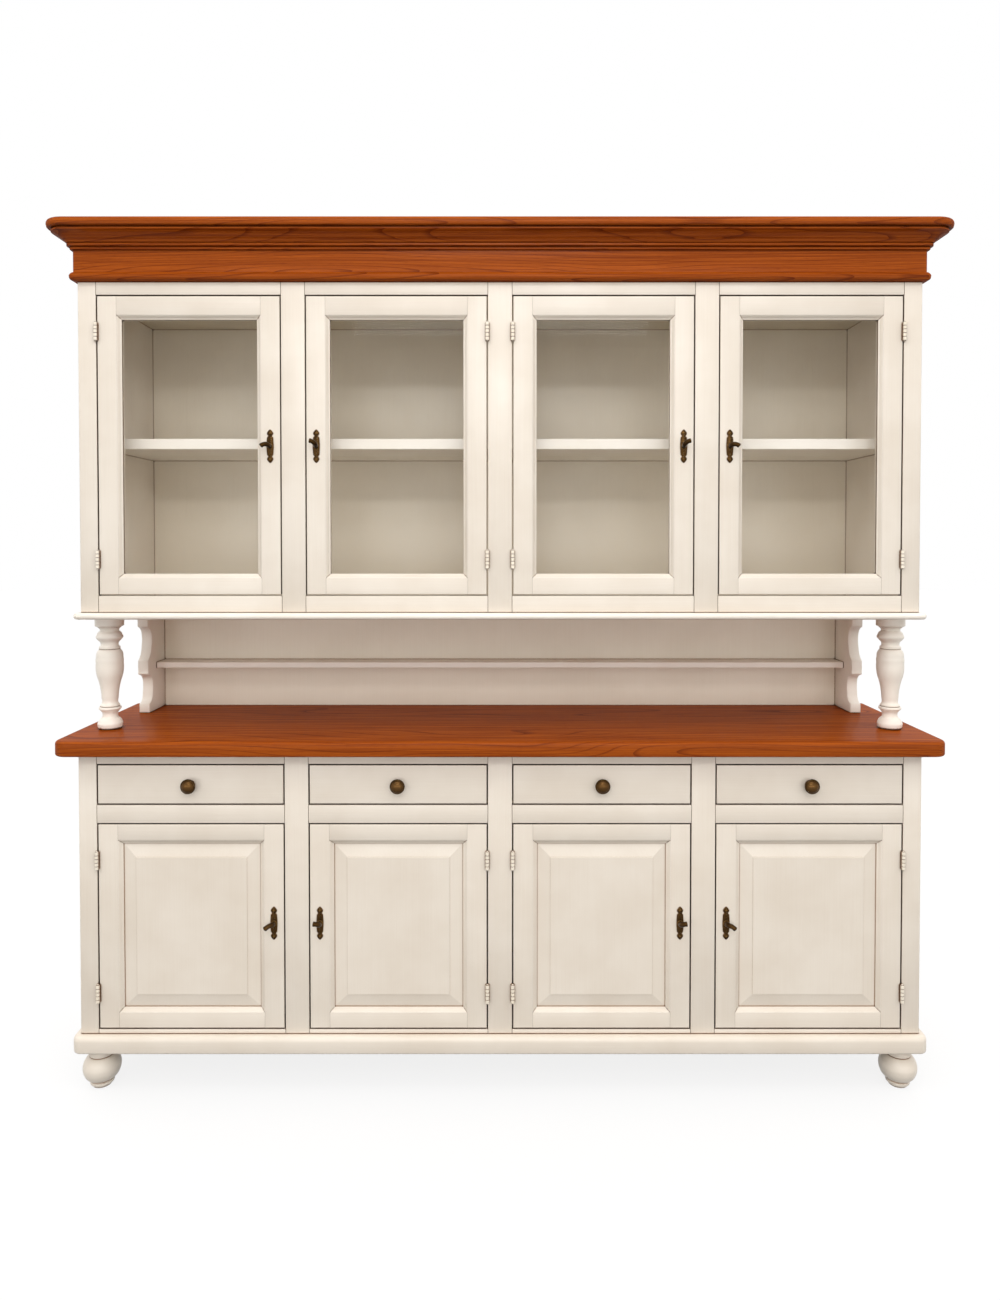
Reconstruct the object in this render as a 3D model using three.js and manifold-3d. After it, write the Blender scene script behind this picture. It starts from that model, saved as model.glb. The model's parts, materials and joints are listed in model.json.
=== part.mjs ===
// Dresser with hutch: a base of four drawers over four panelled doors, an open niche with
// turned columns and scrolled brackets, and a hutch of four glazed doors under a cornice.
// Millimetres. X runs to the right, the front faces -Y and Z is up. The origin is on the
// floor under the middle of the piece.
import * as THREE from 'three';
import { mergeVertices } from 'three/addons/utils/BufferGeometryUtils.js';
import Module from 'manifold-3d';

const wasm = await Module();
wasm.setup();

// Countertop
const counterWidth = 2120;
const counterDepth = 488;
const counterThickness = 36;
const counterCornerRadius = 35;
const counterArris = 8;
const counterUnderArris = 3;
const counterOverhang = 41.5;
const counterSideOverhang = 47;
const counterRearOverhang = 19;

// Carcass boards, shared by the base and the hutch
const bodyWidth = counterWidth - 2 * counterSideOverhang;
const bodyCornerRadius = 4;
const sideThickness = 22;
const partitionThickness = 18;
const backThickness = 10;
const frameThickness = 20;

// Stiles and mullions of both face frames
const outerStile = 44;
const mullionWidth = 57;
const centreStile = 58;
const baseMullionCentre = 489;
const hutchMullionCentre = 497;

// Base, from the floor up
const footHeight = 100;
const plinthHeight = 42;
const baseBottomRail = 11;
const baseDoorOpening = 501;
const baseMidRail = 44;
const drawerOpening = 99;
const baseTopRail = 26;

// Hutch, from the countertop up
const nicheHeight = 284;
const hutchBoardThickness = 16;
const hutchBottomRail = 41;
const hutchDoorOpening = 722;
const hutchTopRail = 31;
const hutchSetback = 19.5;
const hutchTopBoardThickness = 18;

// Cornice
const corniceHeight = 138;
const corniceReach = 61;
const corniceTopThickness = 19;

// Plinth and feet
const plinthReach = 17.5;
const plinthCornerRadius = 24;
const plinthArris = 6;
const plinthUnderArris = 3;
const plinthBoardThickness = 18;
const plinthRailWidth = 95;
const footRadius = 44;
const footInset = 53;

// Nose of the board under the hutch
const noseReach = 15.5;
const noseCornerRadius = 16;

// Columns, brackets and shelves
const columnRadius = 34.3;
const columnInset = 27;
const columnFromFront = 96;
const bracketThickness = 28;
const bracketDepth = 120;
const bracketInset = 21.6;
const bracketLip = 40;
const bracketUpperHollow = 80;
const bracketLobe = 52;
const bracketFoot = 28;
const bracketHollowDepth = 28;
const bracketLedge = 9;
const nicheShelfThickness = 16;
const nicheShelfDepth = 63;
const nicheShelfLift = 117;
const hutchShelfThickness = 26;
const hutchShelfLift = 402;
const hutchShelfSetback = 80;
const housingDepth = 5;

// Doors
const doorThickness = 20;
const doorGap = 3;
const glazedStile = 46;
const glazedTopRail = 45;
const glazedBottomRail = 40;
const panelledStile = 47;
const panelledRail = 38;
const doorMoulding = 13;
const doorMouldingDepth = 8;
const doorEdgeEase = 1.2;
const grooveDepth = 7;
const paneThickness = 4;
const tongueThickness = 6;
const panelBevel = 29;
const panelSink = 2;
const panelFieldStep = 1.5;

// Drawers
const drawerFrontThickness = 20;
const drawerFrontEase = 3;
const drawerDepth = 392;
const drawerWall = 12;
const drawerFloor = 8;
const drawerBoxInset = 4;
const drawerBoxLift = 4;
const drawerBoxHeight = 78;
const runnerHeight = 20;
const runnerReach = 14;

// Knobs
const knobRadius = 18;
const knobStand = 29;
const knobShankRadius = 4;
const knobShankBoreRadius = 4.6;

// Hinges
const hingeLength = 48;
const hingeFromEnd = 88;
const baseHingeFromEnd = 89;
const knuckleCount = 3;
const knuckleRadius = 5;
const hingePinRadius = 1.8;
const hingeBoreRadius = 2.7;
const hingeTip = 3;
const hingeStand = 5.5;
const leafThickness = 1.1;
const leafWallStart = 3.2;
const leafDepth = 10;

// Door furniture
const plateHeight = 80;
const plateWidth = 17;
const plateThickness = 2.5;
const plateFromEdge = 24;
const spindleRadius = 4;
const spindleBoreRadius = 4.9;
const leverStand = 36;
const leverReach = 16;
const leverArmRadius = 3.6;
const leverTipRadius = 4.4;
const leverKneeStand = 26;
const leverBossRadius = 6.4;
const leverBossLength = 6;
const camLength = 36;
const camWidth = 12;
const camThickness = 3;
const hutchLeverHeight = 357;
const baseLeverHeight = 256;

// Clearances and overruns
const fitGap = 0.3;
const runGap = 0.8;
const overrun = 5;
const weld = 1;

// Facets
const bowSteps = 2;
const cornerSteps = 3;
const turnedSides = 12;
const knobSides = 10;
const hingeSides = 6;
const spindleSides = 6;
const armSteps = 3;

// Turned and moulded outlines, bottom to top, as shares of the piece's radius or reach and of
// its height. A third value bows the stretch that ends there by a share of its own length.
const columnShares = [
  [0, 0], [0.75, 0], [0.76, 0.008], [0.865, 0.072, 0.12], [0.59, 0.128, 0.14], [0.54, 0.149],
  [0.6, 0.183, -0.1], [0.82, 0.212, 0.04], [0.8, 0.228, 0.2], [0.69, 0.232], [0.7, 0.25],
  [0.565, 0.276], [0.8, 0.47, -0.03], [0.975, 0.627, 0.05], [0.73, 0.742, 0.13],
  [0.73, 0.758, 0.2], [0.635, 0.78], [0.915, 0.85, -0.04], [0.665, 0.915, 0.1],
  [0.8, 0.944, -0.12], [0.8, 0.953], [1, 0.972, 0.2], [1, 1], [0, 1],
];
const footShares = [
  [0, 0], [0.48, 0], [0.5, 0.05], [0.5, 0.1], [0.6, 0.13, 0.2], [0.56, 0.21, 0.15],
  [0.58, 0.24], [0.94, 0.46, 0.1], [0.98, 0.68, 0.08], [0.7, 0.9, 0.14], [0.65, 0.92],
  [0.65, 1], [0, 1],
];
const knobShares = [
  [0, 0], [0.58, 0], [0.52, 0.09, 0.15], [0.34, 0.16, -0.1], [0.36, 0.38, -0.1],
  [0.94, 0.56, -0.12], [1, 0.66, 0.15], [0.62, 0.92, 0.12], [0, 1, 0.06],
];
const corniceShares = [
  [0.05, 0], [0.2, 0.018, 0.05], [0.262, 0.083, 0.15], [0.123, 0.156, 0.16], [0.123, 0.525],
  [0.22, 0.533], [0.22, 0.576], [0.303, 0.58], [0.33, 0.63, 0.18], [0.36, 0.648],
  [0.85, 0.8, -0.14], [0.85, 0.813], [0.8, 0.82], [0.88, 0.832], [1, 0.9, 0.13],
  [0.8, 1, 0.16],
];
const corniceCornerShare = 0.75;
// Half of the escutcheon plate, as shares of its half width and half height
const plateShares = [
  [0, -1], [0.84, -0.82, 0.1], [0.56, -0.68, 0.16], [0.94, -0.34], [1, 0.04], [0.8, 0.52],
  [0.56, 0.68], [0.84, 0.84, 0.16], [0, 1, 0.1],
];
// Moulding of a door frame, from its flat down to its inner edge
const doorMouldingShares = [[0, 0], [0.12, 0.22], [0.4, 0.3], [0.85, 0.7], [1, 0.75]];
const leverAngles = [180, 128, 52, 0];
const camAngle = -90;

// Levels
const plinthTop = footHeight + plinthHeight;
const baseDoorBottom = plinthTop + baseBottomRail;
const baseDoorTop = baseDoorBottom + baseDoorOpening;
const drawerBottom = baseDoorTop + baseMidRail;
const drawerTop = drawerBottom + drawerOpening;
const baseTop = drawerTop + baseTopRail;
const counterTop = baseTop + counterThickness;
const nicheTop = counterTop + nicheHeight;
const hutchFloor = nicheTop + hutchBoardThickness;
const hutchDoorBottom = hutchFloor + hutchBottomRail;
const hutchDoorTop = hutchDoorBottom + hutchDoorOpening;
const hutchTop = hutchDoorTop + hutchTopRail;

// Planes from front to back, and the sides of the body
const counterBack = counterDepth / 2;
const baseFront = counterOverhang - counterDepth / 2;
const hutchFront = baseFront + hutchSetback;
const carcassBack = counterBack - counterRearOverhang;
const backFace = carcassBack - backThickness;
const baseInside = baseFront + frameThickness;
const hutchInside = hutchFront + frameThickness;
const bodySide = bodyWidth / 2;
const innerSide = bodySide - sideThickness;

// Finishes
const paint = new THREE.MeshStandardMaterial({ color: 0xe9e0d3, roughness: 0.42 });
const stainedCherry = new THREE.MeshStandardMaterial({ color: 0x8f4212, roughness: 0.32 });
const agedBronze = new THREE.MeshStandardMaterial({ color: 0x5a4222, roughness: 0.45, metalness: 0.8 });
const drawerWood = new THREE.MeshStandardMaterial({ color: 0xcdb68e, roughness: 0.6 });
const glass = new THREE.MeshStandardMaterial({ color: 0xe8f0ee, roughness: 0.05, opacity: 0.3, transparent: true });

// Faces turned outwards: the signed volume of a closed skin is below zero when they point in
function outwardFaces(positions, faces) {
  const corner = (face) => new THREE.Vector3().fromArray(positions, 3 * face);
  let volume = 0;
  for (let start = 0; start < faces.length; start += 3) {
    const [a, b, c] = [faces[start], faces[start + 1], faces[start + 2]].map(corner);
    volume += a.dot(b.cross(c));
  }
  return volume < 0 ? faces.toReversed() : faces;
}

// A closed geometry as a solid that can be cut and joined
function solidOf(geometry) {
  const bare = geometry.clone();
  bare.deleteAttribute('normal');
  bare.deleteAttribute('uv');
  const welded = mergeVertices(bare);
  const corners = Array.from(welded.index.array);
  const faces = [];
  for (let start = 0; start < corners.length; start += 3) {
    const [a, b, c] = corners.slice(start, start + 3);
    if (a !== b && b !== c && c !== a) faces.push(a, b, c);
  }
  const positions = Float32Array.from(welded.attributes.position.array);
  const triVerts = Uint32Array.from(outwardFaces(positions, faces));
  return new wasm.Manifold(new wasm.Mesh({ numProp: 3, vertProperties: positions, triVerts }));
}

// A solid back as a geometry
function geometryOf(solid) {
  const { vertProperties, triVerts } = solid.getMesh();
  const geometry = new THREE.BufferGeometry();
  geometry.setAttribute('position', new THREE.BufferAttribute(Float32Array.from(vertProperties), 3));
  geometry.setIndex(new THREE.BufferAttribute(Uint32Array.from(triVerts), 1));
  geometry.computeVertexNormals();
  return geometry;
}

function join(...geometries) {
  return geometryOf(geometries.map(solidOf).reduce((whole, piece) => whole.add(piece)));
}

function cut(blank, ...tools) {
  return geometryOf(tools.map(solidOf).reduce((rest, tool) => rest.subtract(tool), solidOf(blank)));
}

// A right-hand piece, or its mirror image where side is -1
function handed(geometry, side) {
  return join(geometry.scale(side, 1, 1));
}

// A square-edged board between two values on each axis
function board([left, right], [front, back], [bottom, top]) {
  const geometry = new THREE.BoxGeometry(right - left, back - front, top - bottom);
  return geometry.translate((left + right) / 2, (front + back) / 2, (bottom + top) / 2);
}

// An outline through stations of [across, up, bow]; a bow above zero swells to the right of travel
function curvedOutline(stations) {
  const points = [];
  for (const [across, up, bow = 0] of stations) {
    const end = new THREE.Vector2(across, up);
    const start = points.at(-1) ?? end;
    const run = end.clone().sub(start);
    const control = start.clone().lerp(end, 0.5).add(new THREE.Vector2(run.y, -run.x).multiplyScalar(2 * bow));
    const curve = new THREE.QuadraticBezierCurve(start, control, end);
    points.push(...(bow === 0 ? [end] : curve.getPoints(bowSteps).slice(1)));
  }
  return points;
}

function sized(shares, across, up) {
  return shares.map(([acrossShare, upShare, bow]) => [acrossShare * across, upShare * up, bow]);
}

// A turned piece standing on Z
function turned(stations, sides) {
  return new THREE.LatheGeometry(curvedOutline(stations), sides).rotateX(Math.PI / 2);
}

// A skin over rings of equal point counts, with flat ends or, when endless, closed on itself
function loft(rings, endless = false) {
  const count = rings[0].length;
  const faces = [];
  const spans = endless ? rings.length : rings.length - 1;
  for (let span = 0; span < spans; span += 1) {
    const low = span * count;
    const high = ((span + 1) % rings.length) * count;
    for (let side = 0; side < count; side += 1) {
      const next = (side + 1) % count;
      faces.push(low + side, low + next, high + next, low + side, high + next, high + side);
    }
  }
  const last = (rings.length - 1) * count;
  for (let side = 1; side < count - 1 && !endless; side += 1) {
    faces.push(0, side + 1, side, last, last + side, last + side + 1);
  }
  const geometry = new THREE.BufferGeometry();
  const positions = rings.flat().flatMap((point) => point.toArray());
  geometry.setAttribute('position', new THREE.BufferAttribute(Float32Array.from(positions), 3));
  geometry.setIndex(Array.from(outwardFaces(positions, faces)));
  return geometry;
}

// Plan of a board with a straight back and two rounded front corners, at one level
function planRing(halfWidth, front, back, radius, level) {
  const turn = Array.from({ length: cornerSteps + 1 }, (_, step) => (step / cornerSteps) * (Math.PI / 2));
  const corner = turn.map((angle) => [
    halfWidth - radius + radius * Math.cos(angle),
    front + radius - radius * Math.sin(angle),
  ]);
  const right = [[halfWidth, back], ...corner];
  const left = right.map(([across, deep]) => [-across, deep]).toReversed();
  return [...right, ...left].map(([across, deep]) => new THREE.Vector3(across, deep, level));
}

// A board whose front and side edges follow an outline of [reach, level]
function mouldedBoard(stations, halfWidth, front, back, radiusAt) {
  const outline = curvedOutline(stations);
  return loft(outline.map(({ x: reach, y: level }) => (
    planRing(halfWidth + reach, front - reach, back, radiusAt(reach), level))));
}

// A rectangular ring in the plane of a door or drawer front
function frontRing([left, right], [bottom, top], depth) {
  const corners = [[left, bottom], [right, bottom], [right, top], [left, top]];
  return corners.map(([across, up]) => new THREE.Vector3(across, depth, up));
}

// A panel whose face follows [inset, depth] steps from its back edge to its field
function facedPanel(width, height, steps) {
  return loft(steps.map(([inset, depth]) => frontRing([inset, width - inset], [inset, height - inset], depth)));
}

// The four openings of a face frame, left to right, and the side each door hangs on
function baysOf(mullionCentre) {
  const outer = bodySide - outerStile;
  const inner = centreStile / 2;
  const near = mullionCentre - mullionWidth / 2;
  const far = mullionCentre + mullionWidth / 2;
  return [
    { left: -outer, right: -far, hingeSide: -1 },
    { left: -near, right: -inner, hingeSide: 1 },
    { left: inner, right: near, hingeSide: -1 },
    { left: far, right: outer, hingeSide: 1 },
  ];
}

const baseBays = baysOf(baseMullionCentre);
const hutchBays = baysOf(hutchMullionCentre);
const dresser = new THREE.Group();

function addPiece(name, geometry, material, parent = dresser) {
  const mesh = new THREE.Mesh(geometry, material);
  mesh.name = name;
  parent.add(mesh);
  return mesh;
}

// Heights of a hinge's knuckles, with running room between neighbours
const knucklePitch = hingeLength / knuckleCount;
const knuckles = Array.from({ length: knuckleCount }, (_, index) => (
  [index * knucklePitch + fitGap / 2, (index + 1) * knucklePitch - fitGap / 2]));
const frameKnuckles = knuckles.filter((_, index) => index % 2 === 0);
const doorKnuckles = knuckles.filter((_, index) => index % 2 === 1);

// A hinge's leaf lies in the gap beside the door, on the side that it is let into
function hingeLeaf(side, [bottom, top]) {
  const inner = side * (doorGap / 2 - leafThickness);
  const outer = side * (doorGap / 2 + weld);
  const span = side < 0 ? [outer, inner] : [inner, outer];
  return board(span, [leafWallStart, hingeStand + leafDepth], [bottom, top]);
}

// Frame half of a hinge about its own pin: pin, knuckles and leaf
function frameHinge(side, x, y, z) {
  const stations = [[0, -hingeTip], [hingePinRadius, -hingeTip]];
  for (const [bottom, top] of frameKnuckles) {
    stations.push([hingePinRadius, bottom], [knuckleRadius, bottom], [knuckleRadius, top], [hingePinRadius, top]);
  }
  stations.push([hingePinRadius, hingeLength + hingeTip], [0, hingeLength + hingeTip]);
  const leaves = frameKnuckles.map((knuckle) => hingeLeaf(side, knuckle));
  return join(turned(stations, hingeSides), ...leaves).translate(x, y, z);
}

// Door half of a hinge about the same pin
function doorHinge(side, x, y, z) {
  const halves = doorKnuckles.flatMap(([bottom, top]) => {
    const tube = turned([
      [hingeBoreRadius, bottom], [knuckleRadius, bottom], [knuckleRadius, top],
      [hingeBoreRadius, top], [hingeBoreRadius, bottom],
    ], hingeSides);
    return [tube, hingeLeaf(side, [bottom, top])];
  });
  return join(...halves).translate(x, y, z);
}

// Bottoms of a door's two hinges, from the bottom of its opening
function hingeBottoms(openingHeight, fromEnd) {
  return [fromEnd, openingHeight - fromEnd].map((centre) => centre - hingeLength / 2);
}

// A face frame: full-height stiles and mullions, short rails and the frame halves of the hinges
function faceFrame(front, bottom, top, bays, rows, hinges) {
  const blank = mouldedBoard([[0, bottom], [0, top]], bodySide, front, front + frameThickness, () => bodyCornerRadius);
  const through = [front - overrun, front + frameThickness + overrun];
  const openings = bays.flatMap(({ left, right }) => rows.map((row) => board([left, right], through, row)));
  const fittings = bays.flatMap(({ left, right, hingeSide }) => {
    const edge = hingeSide < 0 ? left + doorGap / 2 : right - doorGap / 2;
    return hinges.map((level) => frameHinge(hingeSide, edge, front - hingeStand, level));
  });
  return join(cut(blank, ...openings), ...fittings);
}

// Escutcheon plate in the plane of a door, standing out of its face
function escutcheon(x, z) {
  const half = curvedOutline(sized(plateShares, plateWidth / 2, plateHeight / 2));
  const mirrored = half.slice(1, -1).map((point) => new THREE.Vector2(-point.x, point.y)).toReversed();
  const shape = new THREE.Shape([...half, ...mirrored]);
  const geometry = new THREE.ExtrudeGeometry(shape, { depth: plateThickness + weld, bevelEnabled: false });
  return geometry.rotateX(Math.PI / 2).translate(x, weld, z);
}

// A hole along the depth of a door
function depthBore(radius, x, z, [front, back]) {
  const geometry = new THREE.CylinderGeometry(radius, radius, back - front, spindleSides);
  return geometry.translate(x, (front + back) / 2, z);
}

// A door's frame: mitred mouldings inside stiles and rails, a groove for the pane or panel,
// the door halves of its hinges, and its escutcheon with the spindle's bore
function doorFrame({ width, height, stile, topRail, bottomRail, groove, hingeSide, hinges, leverX, leverZ }) {
  const moulding = sized(doorMouldingShares, doorMoulding, doorMouldingDepth);
  const tongueFront = doorMouldingDepth;
  const section = [
    [0, 0, doorThickness], [0, 0, doorEdgeEase], [0, doorEdgeEase, 0],
    ...moulding.map(([inset, depth]) => [1, inset, depth]),
    [1, doorMoulding, tongueFront], [1, doorMoulding - grooveDepth, tongueFront],
    [1, doorMoulding - grooveDepth, tongueFront + groove], [1, doorMoulding, tongueFront + groove],
    [1, doorMoulding, doorThickness],
  ];
  const rings = section.map(([flatShare, inset, depth]) => {
    const side = flatShare * stile + inset;
    const low = flatShare * bottomRail + inset;
    const high = height - flatShare * topRail - inset;
    return frontRing([side, width - side], [low, high], depth);
  });
  const hingeX = hingeSide < 0 ? -doorGap / 2 : width + doorGap / 2;
  const fittings = hinges.map((level) => doorHinge(-hingeSide, hingeX, -hingeStand, level));
  const bore = depthBore(spindleBoreRadius, leverX, leverZ, [-overrun, doorThickness + overrun]);
  return cut(join(loft(rings, true), escutcheon(leverX, leverZ), ...fittings), bore);
}

// A lever with its spindle and cam, about the spindle's axis along Y
function lever(armAngle) {
  const front = -plateThickness - runGap;
  const back = doorThickness + runGap + camThickness;
  const spindle = depthBore(spindleRadius, 0, 0, [front - leverBossLength, back]);
  const boss = depthBore(leverBossRadius, 0, 0, [front - leverBossLength, front]);
  const angle = THREE.MathUtils.degToRad(armAngle);
  const at = (reach, stand) => new THREE.Vector3(reach * Math.cos(angle), -stand, reach * Math.sin(angle));
  const tipStand = leverStand - leverTipRadius;
  const route = new THREE.CubicBezierCurve3(
    at(0, -front), at(0, leverKneeStand), at(leverReach / 4, tipStand), at(leverReach, tipStand));
  const ring = Array.from({ length: spindleSides }, (_, side) => (side / spindleSides) * 2 * Math.PI);
  const section = new THREE.Shape(ring.map((turn) => (
    new THREE.Vector2(leverArmRadius * Math.cos(turn), leverArmRadius * Math.sin(turn)))));
  const arm = new THREE.ExtrudeGeometry(section, { steps: armSteps, extrudePath: route });
  const tip = new THREE.SphereGeometry(leverTipRadius, spindleSides, spindleSides / 2);
  const tipPlace = at(leverReach, tipStand);
  const cam = board([-spindleRadius, camLength], [back - camThickness, back], [-camWidth / 2, camWidth / 2]);
  const camTurn = THREE.MathUtils.degToRad(camAngle);
  return join(spindle, boss, arm, tip.translate(tipPlace.x, tipPlace.y, tipPlace.z), cam.rotateY(-camTurn));
}

// Base: plinth with its bottom board, four turned feet, sides, partitions with runners, back
function buildBase() {
  const plinthFront = baseFront - plinthReach;
  const plinthSide = bodySide + plinthReach;
  const plinth = mouldedBoard([
    [-plinthUnderArris, footHeight], [0, footHeight + plinthUnderArris, 0.2],
    [0, plinthTop - plinthArris], [-plinthArris, plinthTop, 0.2],
  ], plinthSide, plinthFront, carcassBack, (reach) => plinthCornerRadius + reach);
  const recess = board(
    [plinthRailWidth - plinthSide, plinthSide - plinthRailWidth],
    [plinthFront + plinthRailWidth, carcassBack - plinthRailWidth],
    [footHeight - overrun, plinthTop - plinthBoardThickness]);
  addPiece('base_plinth', cut(plinth, recess), paint);

  const foot = turned(sized(footShares, footRadius, footHeight - fitGap), turnedSides);
  const footX = plinthSide - footInset;
  const feet = [
    ['foot_front_left', -footX, plinthFront + footInset], ['foot_front_right', footX, plinthFront + footInset],
    ['foot_rear_left', -footX, carcassBack - footInset], ['foot_rear_right', footX, carcassBack - footInset],
  ];
  for (const [name, x, y] of feet) addPiece(name, foot.clone(), paint).position.set(x, y, 0);

  const deep = [baseInside + fitGap, backFace - fitGap];
  const tall = [plinthTop + fitGap, baseTop - fitGap];
  const runnerTop = drawerBottom + doorGap + drawerBoxLift - fitGap;
  const runnerTall = [runnerTop - runnerHeight, runnerTop];
  const runnerEdge = bodySide - outerStile - runnerReach;
  for (const [name, side] of [['base_side_left', -1], ['base_side_right', 1]]) {
    const panel = board([innerSide, bodySide], [baseInside + fitGap, carcassBack], tall);
    const runner = board([runnerEdge, innerSide + weld], deep, runnerTall);
    addPiece(name, handed(join(panel, runner), side), paint);
  }
  const half = partitionThickness / 2;
  const wing = mullionWidth / 2 + runnerReach;
  for (const [name, x, reach] of [
    ['base_partition_left', -baseMullionCentre, wing], ['base_partition_center', 0, centreStile / 2 + runnerReach],
    ['base_partition_right', baseMullionCentre, wing],
  ]) {
    const panel = board([-half, half], deep, tall);
    const runner = board([-reach, reach], deep, runnerTall);
    addPiece(name, join(panel, runner), paint).position.x = x;
  }
  addPiece('base_back_panel', board([fitGap - innerSide, innerSide - fitGap], [backFace, carcassBack], tall), paint);
  const rows = [[baseDoorBottom, baseDoorTop], [drawerBottom, drawerTop]];
  const hinges = hingeBottoms(baseDoorOpening, baseHingeFromEnd).map((level) => baseDoorBottom + level);
  const frame = faceFrame(baseFront, plinthTop + fitGap, baseTop - fitGap, baseBays, rows, hinges);
  addPiece('base_face_frame', frame, paint);
}

function buildCountertop() {
  const slab = mouldedBoard([
    [-counterUnderArris, baseTop], [0, baseTop + counterUnderArris, 0.2],
    [0, counterTop - counterArris], [-counterArris, counterTop, 0.2],
  ], counterWidth / 2, -counterDepth / 2, counterBack, (reach) => counterCornerRadius + reach);
  addPiece('countertop', slab, stainedCherry);
}

// One drawer: its box behind an eased front, and its knob
function buildDrawer(number, { left, right }) {
  const group = new THREE.Group();
  group.position.set(left + doorGap, baseFront, drawerBottom + doorGap);
  dresser.add(group);
  const width = right - left - 2 * doorGap;
  const height = drawerOpening - 2 * doorGap;
  const front = facedPanel(width, height, [[0, drawerFrontThickness], [0, drawerFrontEase], [drawerFrontEase, 0]]);
  const boxTall = [drawerBoxLift, drawerBoxLift + drawerBoxHeight];
  const box = board([drawerBoxInset, width - drawerBoxInset], [drawerFrontThickness - weld, drawerDepth], boxTall);
  const hollow = board(
    [drawerBoxInset + drawerWall, width - drawerBoxInset - drawerWall],
    [drawerFrontThickness, drawerDepth - drawerWall],
    [drawerBoxLift + drawerFloor, drawerBoxLift + drawerBoxHeight + overrun]);
  const bore = depthBore(knobShankBoreRadius, width / 2, height / 2, [-overrun, drawerFrontThickness / 2]);
  addPiece(`drawer_${number}_box`, cut(join(front, cut(box, hollow)), bore), drawerWood, group);

  const shank = turned([
    [0, fitGap - drawerFrontThickness / 2], [knobShankRadius, fitGap - drawerFrontThickness / 2],
    [knobShankRadius, weld + fitGap], [0, weld + fitGap],
  ], spindleSides);
  const head = turned(sized(knobShares, knobRadius, knobStand), knobSides).translate(0, 0, fitGap);
  const knob = addPiece(`drawer_${number}_knob`, join(shank, head), agedBronze, group);
  knob.position.set(width / 2, 0, height / 2);
  knob.rotation.x = Math.PI / 2;
}

// One door: frame, infill in its groove, and lever
function buildDoor(prefix, number, bay, face, bottom, sizes) {
  const { openingHeight, stile, topRail, bottomRail, infill, fromEnd, leverHeight } = sizes;
  const group = new THREE.Group();
  group.position.set(bay.left + doorGap, face, bottom + doorGap);
  dresser.add(group);
  const width = bay.right - bay.left - 2 * doorGap;
  const height = openingHeight - 2 * doorGap;
  const groove = infill + 2 * fitGap;
  const leverX = bay.hingeSide < 0 ? width - plateFromEdge : plateFromEdge;
  const leverZ = leverHeight;
  const hinges = hingeBottoms(openingHeight, fromEnd).map((level) => level - doorGap);
  const frame = doorFrame({
    width, height, stile, topRail, bottomRail, groove, hingeSide: bay.hingeSide, hinges, leverX, leverZ,
  });
  addPiece(`${prefix}_${number}_frame`, frame, paint, group);
  const edge = doorMoulding - grooveDepth + fitGap;
  const place = new THREE.Vector3(stile + edge, doorMouldingDepth + fitGap, bottomRail + edge);
  const infillWidth = width - 2 * place.x;
  const infillHeight = height - topRail - edge - place.z;
  const handle = addPiece(`${prefix}_${number}_lever`, lever(leverAngles[number - 1]), agedBronze, group);
  handle.position.set(leverX, 0, leverZ);
  return { group, place, infillWidth, infillHeight };
}

function buildBaseDoor(number, bay) {
  const { group, place, infillWidth, infillHeight } = buildDoor('base_door', number, bay, baseFront, baseDoorBottom, {
    openingHeight: baseDoorOpening, stile: panelledStile, topRail: panelledRail, bottomRail: panelledRail,
    infill: tongueThickness, fromEnd: baseHingeFromEnd, leverHeight: baseLeverHeight,
  });
  const raised = facedPanel(infillWidth, infillHeight, [
    [0, tongueThickness], [0, 0], [grooveDepth, 0],
    [grooveDepth + panelBevel, panelSink + panelFieldStep - place.y],
    [grooveDepth + panelBevel, panelSink - place.y],
  ]);
  addPiece(`base_door_${number}_panel`, raised, paint, group).position.copy(place);
}

function buildHutchDoor(number, bay) {
  const { group, place, infillWidth, infillHeight } = buildDoor('hutch_door', number, bay, hutchFront, hutchDoorBottom, {
    openingHeight: hutchDoorOpening, stile: glazedStile, topRail: glazedTopRail, bottomRail: glazedBottomRail,
    infill: paneThickness, fromEnd: hingeFromEnd, leverHeight: hutchLeverHeight,
  });
  const pane = board([0, infillWidth], [0, paneThickness], [0, infillHeight]);
  addPiece(`hutch_door_${number}_pane`, pane, glass, group).position.copy(place);
}

// Scroll-cut outline of a bracket, depth against height, its back at zero
function bracketOutline() {
  const height = nicheHeight - 2 * fitGap;
  const front = -bracketDepth;
  const hollow = front + bracketHollowDepth;
  const lobeTop = height - bracketLip - bracketUpperHollow;
  const lobeBottom = lobeTop - bracketLobe;
  const shape = new THREE.Shape();
  shape.moveTo(0, 0);
  shape.lineTo(front, 0);
  shape.lineTo(front, bracketFoot);
  shape.lineTo(front + bracketLedge, bracketFoot);
  shape.quadraticCurveTo(hollow, bracketFoot, hollow, (bracketFoot + lobeBottom) / 2);
  shape.quadraticCurveTo(hollow, lobeBottom - bracketLedge, front + 2 * bracketLedge, lobeBottom - bracketLedge);
  shape.lineTo(front + bracketLedge, lobeBottom);
  shape.quadraticCurveTo(front, lobeBottom, front, lobeBottom + bracketLobe / 2);
  shape.quadraticCurveTo(front, lobeTop, hollow - bracketLedge, lobeTop + bracketLedge);
  shape.quadraticCurveTo(hollow, lobeTop + 2 * bracketLedge, hollow, lobeTop + bracketUpperHollow / 2);
  shape.quadraticCurveTo(hollow, height - bracketLip - bracketLedge, front, height - bracketLip);
  shape.lineTo(front, height);
  shape.lineTo(0, height);
  shape.closePath();
  return shape;
}

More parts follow.
